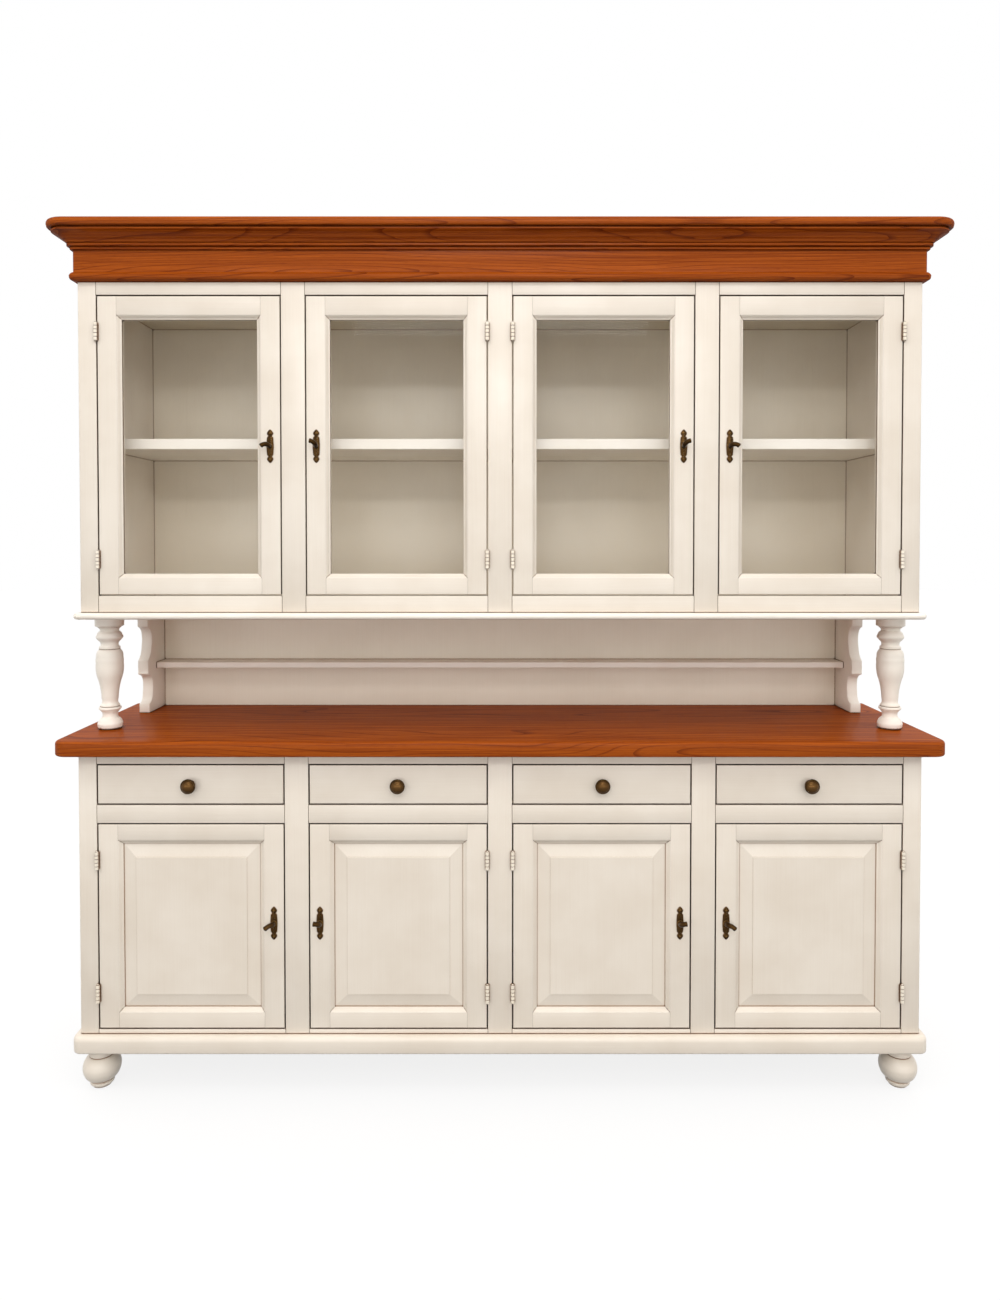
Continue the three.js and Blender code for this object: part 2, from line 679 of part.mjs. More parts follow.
// Niche: columns, brackets, narrow shelf and the board that carries the hutch
function buildNiche() {
  const column = turned(sized(columnShares, columnRadius, nicheHeight - 2 * fitGap), turnedSides);
  const columnX = bodySide - columnInset;
  const columnY = hutchFront + columnFromFront;
  for (const [name, side] of [['column_left', -1], ['column_right', 1]]) {
    addPiece(name, column.clone(), paint).position.set(side * columnX, columnY, counterTop + fitGap);
  }
  const bracketOuter = bodySide - bracketInset;
  const settings = { depth: bracketThickness, bevelEnabled: false, curveSegments: bowSteps };
  const bracket = new THREE.ExtrudeGeometry(bracketOutline(), settings);
  bracket.rotateX(Math.PI / 2).rotateZ(Math.PI / 2);
  for (const [name, x] of [['bracket_left', -bracketOuter], ['bracket_right', bracketOuter - bracketThickness]]) {
    addPiece(name, bracket.clone(), paint).position.set(x, backFace - fitGap, counterTop + fitGap);
  }
  const shelfHalf = bracketOuter - bracketThickness - fitGap;
  const shelfBottom = counterTop + nicheShelfLift;
  addPiece('niche_shelf', board(
    [-shelfHalf, shelfHalf], [backFace - nicheShelfDepth, backFace - fitGap],
    [shelfBottom, shelfBottom + nicheShelfThickness]), paint);
  const round = hutchBoardThickness / 2;
  const nose = mouldedBoard([
    [noseReach - round, nicheTop], [noseReach, nicheTop + round, 0.2],
    [noseReach - round, hutchFloor, 0.2],
  ], bodySide, hutchFront, backFace - fitGap, (reach) => noseCornerRadius + reach - noseReach);
  addPiece('hutch_bottom_board', nose, paint);
}

// Hutch carcass: sides and partition with housings for the shelves, top board, back and frame
function buildHutch() {
  const deep = [hutchInside + fitGap, backFace - fitGap];
  const tall = [hutchFloor + fitGap, hutchTop - fitGap];
  const shelfBottom = hutchFloor + hutchShelfLift;
  const shelfTall = [shelfBottom, shelfBottom + hutchShelfThickness];
  const shelfFront = hutchFront + hutchShelfSetback;
  const housingTall = [shelfTall[0] - fitGap, shelfTall[1] + fitGap];
  const housingDeep = [shelfFront - fitGap, backFace];
  for (const [name, side] of [['hutch_side_left', -1], ['hutch_side_right', 1]]) {
    const panel = board([innerSide, bodySide], [hutchInside + fitGap, carcassBack], tall);
    const housing = board([innerSide - overrun, innerSide + housingDepth + fitGap], housingDeep, housingTall);
    addPiece(name, handed(cut(panel, housing), side), paint);
  }
  const half = partitionThickness / 2;
  const roof = hutchTop - fitGap - hutchTopBoardThickness;
  const wall = board([-half, half], deep, [tall[0], roof - fitGap]);
  const housings = [-1, 1].map((side) => {
    const span = [side * (half - housingDepth - fitGap), side * (half + overrun)].toSorted((a, b) => a - b);
    return board(span, [shelfFront - fitGap, backFace + overrun], housingTall);
  });
  addPiece('hutch_partition', cut(wall, ...housings), paint);
  addPiece('hutch_top_board', board([fitGap - innerSide, innerSide - fitGap], deep, [roof, tall[1]]), paint);
  for (const [name, side] of [['hutch_shelf_left', -1], ['hutch_shelf_right', 1]]) {
    const span = [side * (half - housingDepth), side * (innerSide + housingDepth)].toSorted((a, b) => a - b);
    addPiece(name, board(span, [shelfFront, backFace - fitGap], shelfTall), paint);
  }
  addPiece('hutch_back_panel', board(
    [fitGap - innerSide, innerSide - fitGap], [backFace, carcassBack],
    [counterTop + fitGap, hutchTop - fitGap]), paint);
  const hinges = hingeBottoms(hutchDoorOpening, hingeFromEnd).map((level) => hutchDoorBottom + level);
  const rows = [[hutchDoorBottom, hutchDoorTop]];
  addPiece('hutch_face_frame', faceFrame(hutchFront, ...tall, hutchBays, rows, hinges), paint);
}

// Cornice: bead, frieze, crown and top in one hollow frame under a top board
function buildCornice() {
  const stations = sized(corniceShares, corniceReach, corniceHeight)
    .map(([reach, level, bow]) => [reach, hutchTop + level, bow]);
  const solid = mouldedBoard(stations, bodySide, hutchFront, carcassBack, (reach) => reach * corniceCornerShare);
  const hollow = board(
    [-innerSide, innerSide], [hutchInside, carcassBack - sideThickness],
    [hutchTop - overrun, hutchTop + corniceHeight - corniceTopThickness]);
  addPiece('cornice', cut(solid, hollow), stainedCherry);
}

buildBase();
buildCountertop();
baseBays.forEach((bay, index) => buildDrawer(index + 1, bay));
baseBays.forEach((bay, index) => buildBaseDoor(index + 1, bay));
buildNiche();
buildHutch();
hutchBays.forEach((bay, index) => buildHutchDoor(index + 1, bay));
buildCornice();

export default dresser;
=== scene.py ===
"""Dresser with hutch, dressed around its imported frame.

A cream-painted four-bay dresser: four drawers over four panelled doors, an open niche with
turned columns and scrolled brackets, and a hutch of four glazed doors. Countertop and cornice
are stained cherry, the door furniture is aged bronze. Sizes are in millimetres, +Z is up and
the front faces -Y. The left half is modelled, and the right half is its mirrored copy.
"""
from __future__ import annotations

import json
import logging
import math
from collections.abc import Callable, Iterable, Iterator, Sequence
from contextlib import contextmanager
from dataclasses import dataclass
from enum import Enum

import bmesh
import bpy
from mathutils import Matrix, Vector

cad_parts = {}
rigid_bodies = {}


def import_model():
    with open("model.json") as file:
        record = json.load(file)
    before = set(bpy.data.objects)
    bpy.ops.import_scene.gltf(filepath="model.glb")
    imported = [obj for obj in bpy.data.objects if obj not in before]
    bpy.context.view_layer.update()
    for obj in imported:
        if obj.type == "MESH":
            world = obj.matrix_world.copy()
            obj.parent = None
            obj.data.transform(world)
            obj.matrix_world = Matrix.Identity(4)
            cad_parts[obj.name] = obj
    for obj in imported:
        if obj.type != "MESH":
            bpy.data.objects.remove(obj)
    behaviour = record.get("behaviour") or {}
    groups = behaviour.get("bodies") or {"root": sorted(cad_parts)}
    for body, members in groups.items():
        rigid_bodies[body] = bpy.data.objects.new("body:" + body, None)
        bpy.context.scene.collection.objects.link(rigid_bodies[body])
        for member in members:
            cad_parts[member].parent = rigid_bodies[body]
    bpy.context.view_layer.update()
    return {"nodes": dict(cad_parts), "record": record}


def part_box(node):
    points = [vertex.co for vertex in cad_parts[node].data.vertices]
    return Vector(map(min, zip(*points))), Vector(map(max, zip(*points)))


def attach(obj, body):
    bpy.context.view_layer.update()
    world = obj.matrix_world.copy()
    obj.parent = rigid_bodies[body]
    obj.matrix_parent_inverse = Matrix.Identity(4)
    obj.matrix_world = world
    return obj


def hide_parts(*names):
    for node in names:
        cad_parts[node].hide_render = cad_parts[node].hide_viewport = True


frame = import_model()

LOG = logging.getLogger("dresser")
MM = 0.001
NEAR = 0.1  # millimetres within which a spot counts as lying on a plane
ALONG = 0.9  # least share of a direction that counts as running along an axis
Piece = bpy.types.Object
Paint = bpy.types.Material
Tree = bpy.types.NodeTree
Socket = bpy.types.NodeSocket
Point = Sequence[float]
Test = Callable[[Vector, Vector], bool]
Stations = Sequence[tuple[float, ...]]
Made = tuple[str, Piece, "Paint | None", str, str]


class Lie(Enum):
    """The plane in which the rings of a loft lie."""

    PLAN = "plan"
    FRONT = "front"


class Run(Enum):
    """The direction in which boards were brushed or their grain runs."""

    ACROSS = "across"
    UPRIGHT = "upright"


# Workshop: how pieces are shaped

def focus(piece: Piece) -> None:
    """Selects one piece alone and makes it active."""
    bpy.ops.object.select_all(action="DESELECT")
    piece.select_set(True)
    bpy.context.view_layer.objects.active = piece


def select_all(wanted: bool = True) -> None:
    """Selects all of an opened piece, or nothing."""
    bpy.ops.mesh.select_all(action="SELECT" if wanted else "DESELECT")


@contextmanager
def editing(piece: Piece, kind: str = "FACE") -> Iterator[None]:
    """Opens a piece with nothing selected, to select its VERT, EDGE or FACE parts."""
    focus(piece)
    bpy.ops.object.mode_set(mode="EDIT")
    bpy.ops.mesh.select_mode(type=kind)
    select_all(False)
    yield
    bpy.ops.object.mode_set(mode="OBJECT")


def pick(piece: Piece, kind: str, wanted: Test) -> None:
    """Selects parts of an opened piece by their place.

    Args:
        piece: The mesh in edit mode.
        kind: verts, edges or faces.
        wanted: Test of a part's middle in millimetres and its direction: a face's normal or
            an edge's run.
    """
    mesh = bmesh.from_edit_mesh(piece.data)
    for part in getattr(mesh, kind):
        if part.hide:
            continue
        if kind == "verts":
            middle, heading = part.co, part.normal
        elif kind == "edges":
            start, end = (corner.co for corner in part.verts)
            middle, heading = (start + end) / 2, (end - start).normalized()
        else:
            middle, heading = part.calc_center_median(), part.normal
        if wanted(middle / MM, heading):
            part.select_set(True)
    mesh.select_flush_mode()
    bmesh.update_edit_mesh(piece.data)


def started(name: str, size: float = MM) -> Piece:
    """Starts a piece from a plane at the origin, with its size in metres."""
    bpy.ops.object.select_all(action="DESELECT")
    bpy.ops.mesh.primitive_plane_add(size=size, location=(0, 0, 0))
    piece = bpy.context.object
    piece.name = name
    return piece


def block(name: str, low: Point, high: Point) -> Piece:
    """Cuts a square blank between two corners in millimetres, with its place in its mesh."""
    least, most = Vector(low) * MM, Vector(high) * MM
    bpy.ops.object.select_all(action="DESELECT")
    bpy.ops.mesh.primitive_cube_add(size=1, location=(least + most) / 2, scale=most - least)
    piece = bpy.context.object
    piece.name = name
    bpy.ops.object.transform_apply(location=True, rotation=True, scale=True)
    return piece


def modified(piece: Piece, kind: str, **settings: object) -> Piece:
    """Adds a modifier with its settings to a piece and applies it."""
    focus(piece)
    bpy.ops.object.modifier_add(type=kind)
    modifier = piece.modifiers[-1]
    for name, value in settings.items():
        setattr(modifier, name, value)
    bpy.ops.object.modifier_apply(modifier=modifier.name)
    return piece


def eased(piece: Piece, width: float) -> Piece:
    """Breaks all sharp edges of a piece with a small round."""
    return modified(piece, "BEVEL", width=width * MM, segments=2, limit_method="ANGLE")


def board(name: str, low: Point, high: Point, ease: float = 0.8) -> Piece:
    """Makes a planed board with eased edges between two corners."""
    return eased(block(name, low, high), ease)


def rounded(piece: Piece, wanted: Test, radius: float, segments: int) -> Piece:
    """Rounds the edges of a piece that pass a test of their middle and run."""
    with editing(piece, "EDGE"):
        pick(piece, "edges", wanted)
        bpy.ops.mesh.bevel(offset=radius * MM, segments=segments, affect="EDGES")
    return piece


def smooth(piece: Piece, degrees: float = 35) -> Piece:
    """Shades a piece smooth except over edges sharper than an angle."""
    focus(piece)
    bpy.ops.object.shade_smooth_by_angle(angle=math.radians(degrees))
    return piece


def moved(piece: Piece, place: Point, turn: Matrix | None = None) -> Piece:
    """Turns a piece about the origin and carries it to its place, inside its mesh."""
    shift = Matrix.Translation(Vector(place) * MM)
    piece.data.transform(shift @ turn if turn else shift)
    return piece


def faced(piece: Piece, level: float = 0.0) -> Piece:
    """Lays a piece that stands along Z so that it points to the front at a level."""
    return moved(piece, (0, 0, level), Matrix.Rotation(math.pi / 2, 4, "X"))


def copied(piece: Piece, name: str, place: Point = (0, 0, 0)) -> Piece:
    """Copies a piece with a mesh of its own and carries the copy to its place."""
    twin = piece.copy()
    twin.data = piece.data.copy()
    twin.name = name
    bpy.context.collection.objects.link(twin)
    return moved(twin, place)


def mirrored(piece: Piece, name: str) -> Piece:
    """Copies a left-hand piece as the right-hand one."""
    twin = copied(piece, name)
    twin.data.transform(Matrix.Scale(-1, 4, (1, 0, 0)))
    with editing(twin):
        select_all()
        bpy.ops.mesh.flip_normals()
    return twin


def assembled(name: str, parts: Sequence[Piece]) -> Piece:
    """Joins several parts into one named piece."""
    focus(parts[0])
    for part in parts[1:]:
        part.select_set(True)
    bpy.ops.object.join()
    parts[0].name = name
    return parts[0]


def traced(stations: Stations, steps: int = 6) -> list[tuple[float, float]]:
    """Draws an outline through stations of across, up and bow.

    Args:
        stations: Points in millimetres. A third value bows the stretch that ends there by a
            share of its length, to the right of travel where it is above zero.
        steps: Points on each bowed stretch.

    Returns:
        The points of the outline.
    """
    points = [(stations[0][0], stations[0][1])]
    for station in stations[1:]:
        start, end = Vector(points[-1]), Vector(station[:2])
        bow = station[2] if len(station) > 2 else 0.0
        run = end - start
        control = (start + end) / 2 + Vector((run.y, -run.x)) * 2 * bow
        count = steps if bow else 1
        for step in range(1, count + 1):
            t = step / count
            spot = start * (1 - t) ** 2 + control * 2 * t * (1 - t) + end * t ** 2
            points.append((spot.x, spot.y))
    return points


def scaled(shares: Stations, across: float, up: float) -> list[tuple[float, ...]]:
    """Turns stations of shares into millimetres."""
    return [(share[0] * across, share[1] * up, *share[2:]) for share in shares]


def chain(name: str, points: Sequence[Point]) -> Piece:
    """Draws a line of edges by extruding one vertex from point to point."""
    line = started(name)
    with editing(line, "VERT"):
        select_all()
        bpy.ops.mesh.merge(type="CENTER")
        bpy.ops.transform.translate(value=Vector(points[0]) * MM)
        for start, end in zip(points, points[1:]):
            step = (Vector(end) - Vector(start)) * MM
            bpy.ops.mesh.extrude_vertices_move(TRANSFORM_OT_translate={"value": step})
    return line


def closed_skin(piece: Piece) -> Piece:
    """Merges doubled points of a piece and turns its faces outwards."""
    with editing(piece, "VERT"):
        select_all()
        bpy.ops.mesh.remove_doubles(threshold=MM / 500)
        bpy.ops.mesh.normals_make_consistent(inside=False)
    return piece


def turned(name: str, outline: Sequence[tuple[float, float]], sides: int) -> Piece:
    """Turns an outline of radius and height, from axis to axis, about the Z axis."""
    piece = chain(name, [(radius, 0, level) for radius, level in outline])
    with editing(piece, "VERT"):
        select_all()
        bpy.ops.mesh.spin(steps=sides, angle=math.tau, center=(0, 0, 0), axis=(0, 0, 1))
    return smooth(closed_skin(piece), 40)


def sawn(name: str, outline: Sequence[Point], thickness: Point) -> Piece:
    """Saws a flat outline out of a board, all in millimetres."""
    piece = chain(name, outline)
    with editing(piece, "VERT"):
        select_all()
        bpy.ops.mesh.edge_face_add()
        bpy.ops.mesh.extrude_region_move(TRANSFORM_OT_translate={"value": Vector(thickness) * MM})
    return closed_skin(piece)


@dataclass(frozen=True)
class Ring:
    """One step of a loft: a rectangle, with its front corners rounded in plan."""

    middle: tuple[float, float, float]
    width: float
    height: float
    corner: float = 0.0


def add_ring(piece: Piece, ring: Ring, lie: Lie, corner_steps: int) -> None:
    """Adds a ring as a face to an opened loft and leaves only that face in view."""
    if lie is Lie.FRONT:
        tilt, size = (math.pi / 2, 0, 0), (ring.width, 1 / MM, ring.height)
    else:
        tilt, size = (0, 0, 0), (ring.width, ring.height, 1 / MM)
    middle = Vector(ring.middle) * MM
    bpy.ops.mesh.primitive_plane_add(size=1, location=middle, rotation=tilt)
    bpy.ops.transform.resize(value=Vector(size) * MM, center_override=middle)
    bpy.ops.mesh.hide(unselected=True)
    if ring.corner:
        select_all(False)
        pick(piece, "verts", lambda spot, _: spot.y < ring.middle[1])
        bpy.ops.mesh.bevel(offset=ring.corner * MM, segments=corner_steps, affect="VERTICES")


def bridge_open_edges() -> None:
    """Bridges the two rings of an opened loft that are still open."""
    select_all(False)
    bpy.ops.mesh.select_non_manifold(
        extend=False, use_wire=True, use_boundary=True, use_multi_face=False,
        use_non_contiguous=False, use_verts=False)
    bpy.ops.mesh.bridge_edge_loops()


def lofted(name: str, rings: Sequence[Ring], lie: Lie, endless: bool = False) -> Piece:
    """Stretches a skin over rings.

    Args:
        name: Name of the piece.
        rings: The rings in their order.
        lie: The plane in which they lie.
        endless: Whether the last ring joins the first, as in a mitred frame.

    Returns:
        The closed piece.
    """
    piece = started(name)
    with editing(piece, "VERT"):
        select_all()
        bpy.ops.mesh.delete(type="VERT")
        for place, ring in enumerate(rings):
            add_ring(piece, ring, lie, corner_steps=6)
            select_all()
            if place or endless:
                bpy.ops.mesh.delete(type="ONLY_FACE")
            bpy.ops.mesh.reveal(select=False)
            if place > 1 and endless:
                join_last_ring(piece, rings[place - 1], ring, lie)
            elif place:
                bridge_open_edges()
        if endless:
            bridge_open_edges()
        else:
            select_all(False)
            bpy.ops.mesh.select_non_manifold(extend=False)
            bpy.ops.mesh.edge_face_add()
    return closed_skin(piece)


def join_last_ring(piece: Piece, before: Ring, ring: Ring, lie: Lie) -> None:
    """Bridges a new ring of an endless loft to the one before it, leaving the first open."""
    upright = lie is Lie.FRONT

    def on_ring(spot: Vector, wanted: Ring) -> bool:
        """Tells whether a vertex lies on a rectangular ring."""
        across = abs(abs(spot.x - wanted.middle[0]) - wanted.width / 2)
        lift = spot.z - wanted.middle[2] if upright else spot.y - wanted.middle[1]
        level = spot.y - wanted.middle[1] if upright else spot.z - wanted.middle[2]
        return max(across, abs(abs(lift) - wanted.height / 2), abs(level)) < 0.01

    select_all(False)
    pick(piece, "verts", lambda spot, _: on_ring(spot, before) or on_ring(spot, ring))
    bpy.ops.mesh.bridge_edge_loops()


# Finishes

def linear(colour: str) -> tuple[float, float, float, float]:
    """Turns an sRGB hex colour into the linear values that a shader takes."""
    shares = [int(colour[place:place + 2], 16) / 255 for place in (1, 3, 5)]
    return (*(s / 12.92 if s <= 0.04045 else ((s + 0.055) / 1.055) ** 2.4 for s in shares), 1.0)


def add_node(tree: Tree, kind: str, inputs: dict | None = None, **settings: object) -> bpy.types.Node:
    """Adds a shader node with values or sockets for its inputs, by name or number, and settings."""
    node = tree.nodes.new(f"ShaderNode{kind}")
    for name, value in settings.items():
        setattr(node, name, value)
    for name, value in (inputs or {}).items():
        if isinstance(value, Socket):
            tree.links.new(value, node.inputs[name])
        else:
            node.inputs[name].default_value = value
    return node


def computed(tree: Tree, operation: str, *values: object) -> Socket:
    """One sum of the math node, on values or sockets."""
    return add_node(tree, "Math", dict(enumerate(values)), operation=operation).outputs[0]


def blank_material(name: str) -> tuple[Paint, Tree]:
    """Starts a material with an empty node tree."""
    material = bpy.data.materials.new(name)
    material.use_nodes = True
    material.node_tree.nodes.clear()
    return material, material.node_tree


def grain_coordinates(tree: Tree, stretch: Point) -> Socket:
    """Object coordinates divided by the size of one feature along each axis in millimetres."""
    place = add_node(tree, "TexCoord")
    mapping = add_node(tree, "Mapping", {
        "Vector": place.outputs["Object"], "Scale": [1 / (size * MM) for size in stretch]})
    return mapping.outputs["Vector"]


def noise(tree: Tree, stretch: Point, detail: float = 3) -> Socket:
    """Noise whose features have the given size along each axis in millimetres."""
    return add_node(tree, "TexNoise", {
        "Vector": grain_coordinates(tree, stretch), "Scale": 1.0, "Detail": detail}).outputs[0]


def ranged(tree: Tree, value: Socket, spans: Point) -> Socket:
    """Maps a value between two ends onto two others, clamped."""
    names = ("From Min", "From Max", "To Min", "To Max")
    return add_node(tree, "MapRange", {"Value": value, **dict(zip(names, spans))}).outputs[0]


def blended(tree: Tree, share: object, first: object, second: object, way: str = "MIX") -> Socket:
    """Mixes two colours by a share."""
    inputs = {"Factor": share, 6: first, 7: second}
    return add_node(tree, "Mix", inputs, data_type="RGBA", blend_type=way).outputs[2]


def tinted(tree: Tree, colour: object, tint: str, value: Socket, spans: Point) -> Socket:
    """Lays a tint over a colour by a share that follows a value between two ends."""
    return blended(tree, ranged(tree, value, spans), colour, linear(tint))


def heading(tree: Tree, axis: str) -> Socket:
    """How far a surface faces along one axis, from -1 to 1."""
    normal = add_node(tree, "NewGeometry").outputs["Normal"]
    return add_node(tree, "SeparateXYZ", {0: normal}).outputs[axis]


def crevice(tree: Tree, reach: float, inside: bool = False) -> Socket:
    """How open a spot is within a reach in millimetres; inside a solid it finds its edges."""
    return add_node(tree, "AmbientOcclusion", {"Distance": reach * MM},
                    samples=8, inside=inside, only_local=inside).outputs["AO"]


def bumped(tree: Tree, height: Socket, depth: float, strength: float) -> Socket:
    """A normal from a height that is at most a depth in millimetres."""
    return add_node(tree, "Bump", {
        "Height": height, "Distance": depth * MM, "Strength": strength}).outputs[0]


def finished(tree: Tree, inputs: dict) -> None:
    """Ends a tree in a principled shader with the given inputs."""
    shader = add_node(tree, "BsdfPrincipled", inputs)
    add_node(tree, "OutputMaterial", {"Surface": shader.outputs[0]})


@dataclass(frozen=True)
class GlazedCreamPaint:
    """Cream alkyd paint brushed on wood, with a brown glaze and painted shade in its corners.

    The eye gets a satin, nearly even cream with faint brush lines; brown in the joints and mitres, which is
    glaze and painted shade; near-black painted shade deep in gaps and slots; on hinges, painted shade on the
    flanks; and a little lighter on its edges, which is rubbed wear and a painted highlight.
    """

    run: Run
    use: str = ""
    body: str = "#EDE4D7"
    shade: str = "#E4D9CA"
    # Lighter colour laid on edges: partly rubbed wear, partly a painted highlight.
    rubbed: str = "#FFFBF3"
    # Brown laid in corners and joints by how hidden they are: partly glaze, partly painted shade.
    glaze: str = "#8E5E2C"
    # Near-black painted shade deep in gaps and slots.
    painted_gap_shade: str = "#2E1808"
    brush_width: float = 1.6
    brush_length: float = 160.0
    cloud: float = 140.0
    glaze_and_shade_reach: float = 4.0
    glaze_and_shade_span: tuple[float, float] = (0.52, 0.9)
    # Share of painted shade on surfaces that turn to the sides.
    painted_flank_shade: float = 0.0
    gap_shade_reach: float = 9.0
    edge_reach: float = 1.8

    def material(self) -> Paint:
        """Builds the node material."""
        material, tree = blank_material(f"glazed_cream_paint_{self.use}{self.run.value}")
        wide, long = self.brush_width, self.brush_length
        brush = noise(tree, (long, wide, wide) if self.run is Run.ACROSS else (wide, wide, long), 2)
        clouds = noise(tree, (self.cloud,) * 3, 3)
        colour = tinted(tree, linear(self.body), self.shade, clouds, (0.35, 0.68, 0, 0.75))
        lines = ranged(tree, brush, (0.3, 0.75, 0.0, 0.1))
        colour = blended(tree, lines, colour, linear(self.shade), "MULTIPLY")
        # Lighter on the edges: partly rubbed wear, partly a painted highlight.
        edges = crevice(tree, self.edge_reach, inside=True)
        colour = tinted(tree, colour, self.rubbed, edges, (0.35, 0.72, 0.5, 0.0))
        # Brown in corners and joints: partly glaze, partly painted shade.
        hollow = crevice(tree, self.glaze_and_shade_reach)
        colour = tinted(tree, colour, self.glaze, hollow, (*self.glaze_and_shade_span, 0.92, 0.0))
        # Painted shade on surfaces that face to the sides, as on a hinge barrel's flanks.
        if self.painted_flank_shade:
            flank = computed(tree, "ABSOLUTE", heading(tree, "X"))
            colour = tinted(tree, colour, self.glaze, flank, (0.8, 0.98, 0.0, self.painted_flank_shade))
        # Near-black painted shade deep in gaps and slots.
        slot = crevice(tree, self.gap_shade_reach)
        colour = tinted(tree, colour, self.painted_gap_shade, slot, (0.27, 0.5, 0.97, 0.0))
        finished(tree, {
            "Base Color": colour, "Roughness": ranged(tree, brush, (0.3, 0.7, 0.28, 0.38)),
            "IOR": 1.5, "Normal": bumped(tree, brush, 0.12, 0.25)})
        return material


@dataclass(frozen=True)
class StainedCherry:
    """Cherry boards stained orange brown under satin varnish.

    The eye gets fine dark pores and long streaks along the board, broad cathedral figure, soft
    reflections in the coat, and painted shade in its inner corners.
    """

    deep: str = "#652504"
    body: str = "#9E4810"
    bright: str = "#BC6018"
    # Near-black laid in inner corners: painted shade.
    corner: str = "#230B02"
    streak_width: float = 2.2
    streak_length: float = 260.0
    figure_width: float = 11.0
    figure_swell: float = 12.0
    pore_width: float = 0.8
    pore_length: float = 22.0
    corner_shade_reach: float = 14.0

    def growth_rings(self, tree: Tree) -> Socket:
        """Rises across each growth ring and falls back at its dark line, in cathedral figure."""
        wide = self.figure_width
        place = add_node(tree, "SeparateXYZ", {0: grain_coordinates(tree, (wide, wide * 2.4, wide))})
        across = computed(tree, "ADD", place.outputs["Y"], place.outputs["Z"])
        swell = noise(tree, (800.0, 190.0, 80.0), 1)
        return computed(tree, "FRACT", computed(tree, "MULTIPLY_ADD", swell, self.figure_swell, across))

    def material(self) -> Paint:
        """Builds the node material."""
        material, tree = blank_material("stained_cherry")
        streaks = noise(tree, (self.streak_length, self.streak_width * 4, self.streak_width), 5)
        figure = self.growth_rings(tree)
        pores = noise(tree, (self.pore_length, self.pore_width * 3, self.pore_width), 2)
        colour = tinted(tree, linear(self.deep), self.bright, streaks, (0.3, 0.7, 0, 1))
        colour = blended(tree, 0.5, colour, linear(self.body))
        colour = tinted(tree, colour, self.deep, figure, (0.8, 1.0, 0.0, 0.8))
        colour = tinted(tree, colour, self.deep, pores, (0.58, 0.72, 0.0, 0.45))
        # Painted shade: near-black in inner corners and coves.
        corners = crevice(tree, self.corner_shade_reach)
        colour = tinted(tree, colour, self.corner, corners, (0.1, 0.85, 0.9, 0.0))
        finished(tree, {
            "Base Color": colour, "Roughness": ranged(tree, streaks, (0.3, 0.7, 0.4, 0.54)),
            "IOR": 1.45, "Specular IOR Level": 0.0, "Coat Weight": 0.17, "Coat Roughness": 0.22,
            "Normal": bumped(tree, pores, 0.1, 0.2)})
        return material


@dataclass(frozen=True)
class SandedBeech:
    """Bare sanded beech of the drawer boxes and inner boards: pale tan with short dark flecks."""

    body: str = "#CDB68E"
    fleck: str = "#A98B5D"

    def material(self) -> Paint:
        """Builds the node material."""
        material, tree = blank_material("sanded_beech")
        flecks = noise(tree, (5.0, 40.0, 1.4), 3)
        growth = noise(tree, (320.0, 400.0, 12.0), 2)
        colour = tinted(tree, linear(self.body), self.fleck, growth, (0.3, 0.7, 0, 0.3))
        colour = tinted(tree, colour, self.fleck, flecks, (0.6, 0.75, 0, 0.5))
        finished(tree, {
            "Base Color": colour, "Roughness": 0.6, "Normal": bumped(tree, flecks, 0.1, 0.2)})
        return material


@dataclass(frozen=True)
class CastMetal:
    """A cast fitting, darkened all over and then rubbed on its edges.

    The eye gets a dull brown metal, brighter on its edges, darker in its hollows, and darker underneath, which
    is painted shade.
    """

    name: str
    body: str
    dark: str
    rubbed: str
    rough: float = 0.3
    blotch: float = 11.0
    # Colour of the painted shade under surfaces that face down.
    painted_underside_shade: str = "#1E1206"
    edge_reach: float = 1.2
    hollow_reach: float = 3.0

    def material(self) -> Paint:
        """Builds the node material."""
        material, tree = blank_material(self.name)
        blotches = noise(tree, (self.blotch,) * 3, 4)
        colour = tinted(tree, linear(self.body), self.dark, blotches, (0.4, 0.7, 0, 0.45))
        edges, hollows = crevice(tree, self.edge_reach, inside=True), crevice(tree, self.hollow_reach)
        colour = tinted(tree, colour, self.rubbed, edges, (0.3, 0.75, 0.65, 0.0))
        colour = tinted(tree, colour, self.dark, hollows, (0.15, 0.6, 0.8, 0.0))
        # Painted shade: darker where a surface faces down.
        colour = tinted(tree, colour, self.painted_underside_shade, heading(tree, "Z"), (-0.75, 0.25, 0.85, 0.0))
        finished(tree, {
            "Base Color": colour, "Metallic": 1.0,
            "Roughness": ranged(tree, blotches, (0.3, 0.7, self.rough - 0.06, self.rough + 0.1)),
            "Normal": bumped(tree, blotches, 0.15, 0.3)})
        return material


@dataclass(frozen=True)
class ClearGlass:
    """Clear float glass, nearly unseen: the eye gets a faint mirror of the room, a little wavy."""

    tint: str = "#F4F8F6"
    share: float = 0.04

    def material(self) -> Paint:
        """Builds the node material."""
        material, tree = blank_material("clear_float_glass")
        waves = noise(tree, (180.0, 180.0, 260.0), 1)
        finished(tree, {
            "Base Color": linear(self.tint), "Roughness": 0.02, "IOR": 1.52, "Transmission Weight": 1.0,
            "Alpha": self.share, "Normal": bumped(tree, waves, 0.05, 0.05)})
        return material


UPRIGHT_PAINT = GlazedCreamPaint(Run.UPRIGHT).material()
LEVEL_PAINT = GlazedCreamPaint(Run.ACROSS).material()
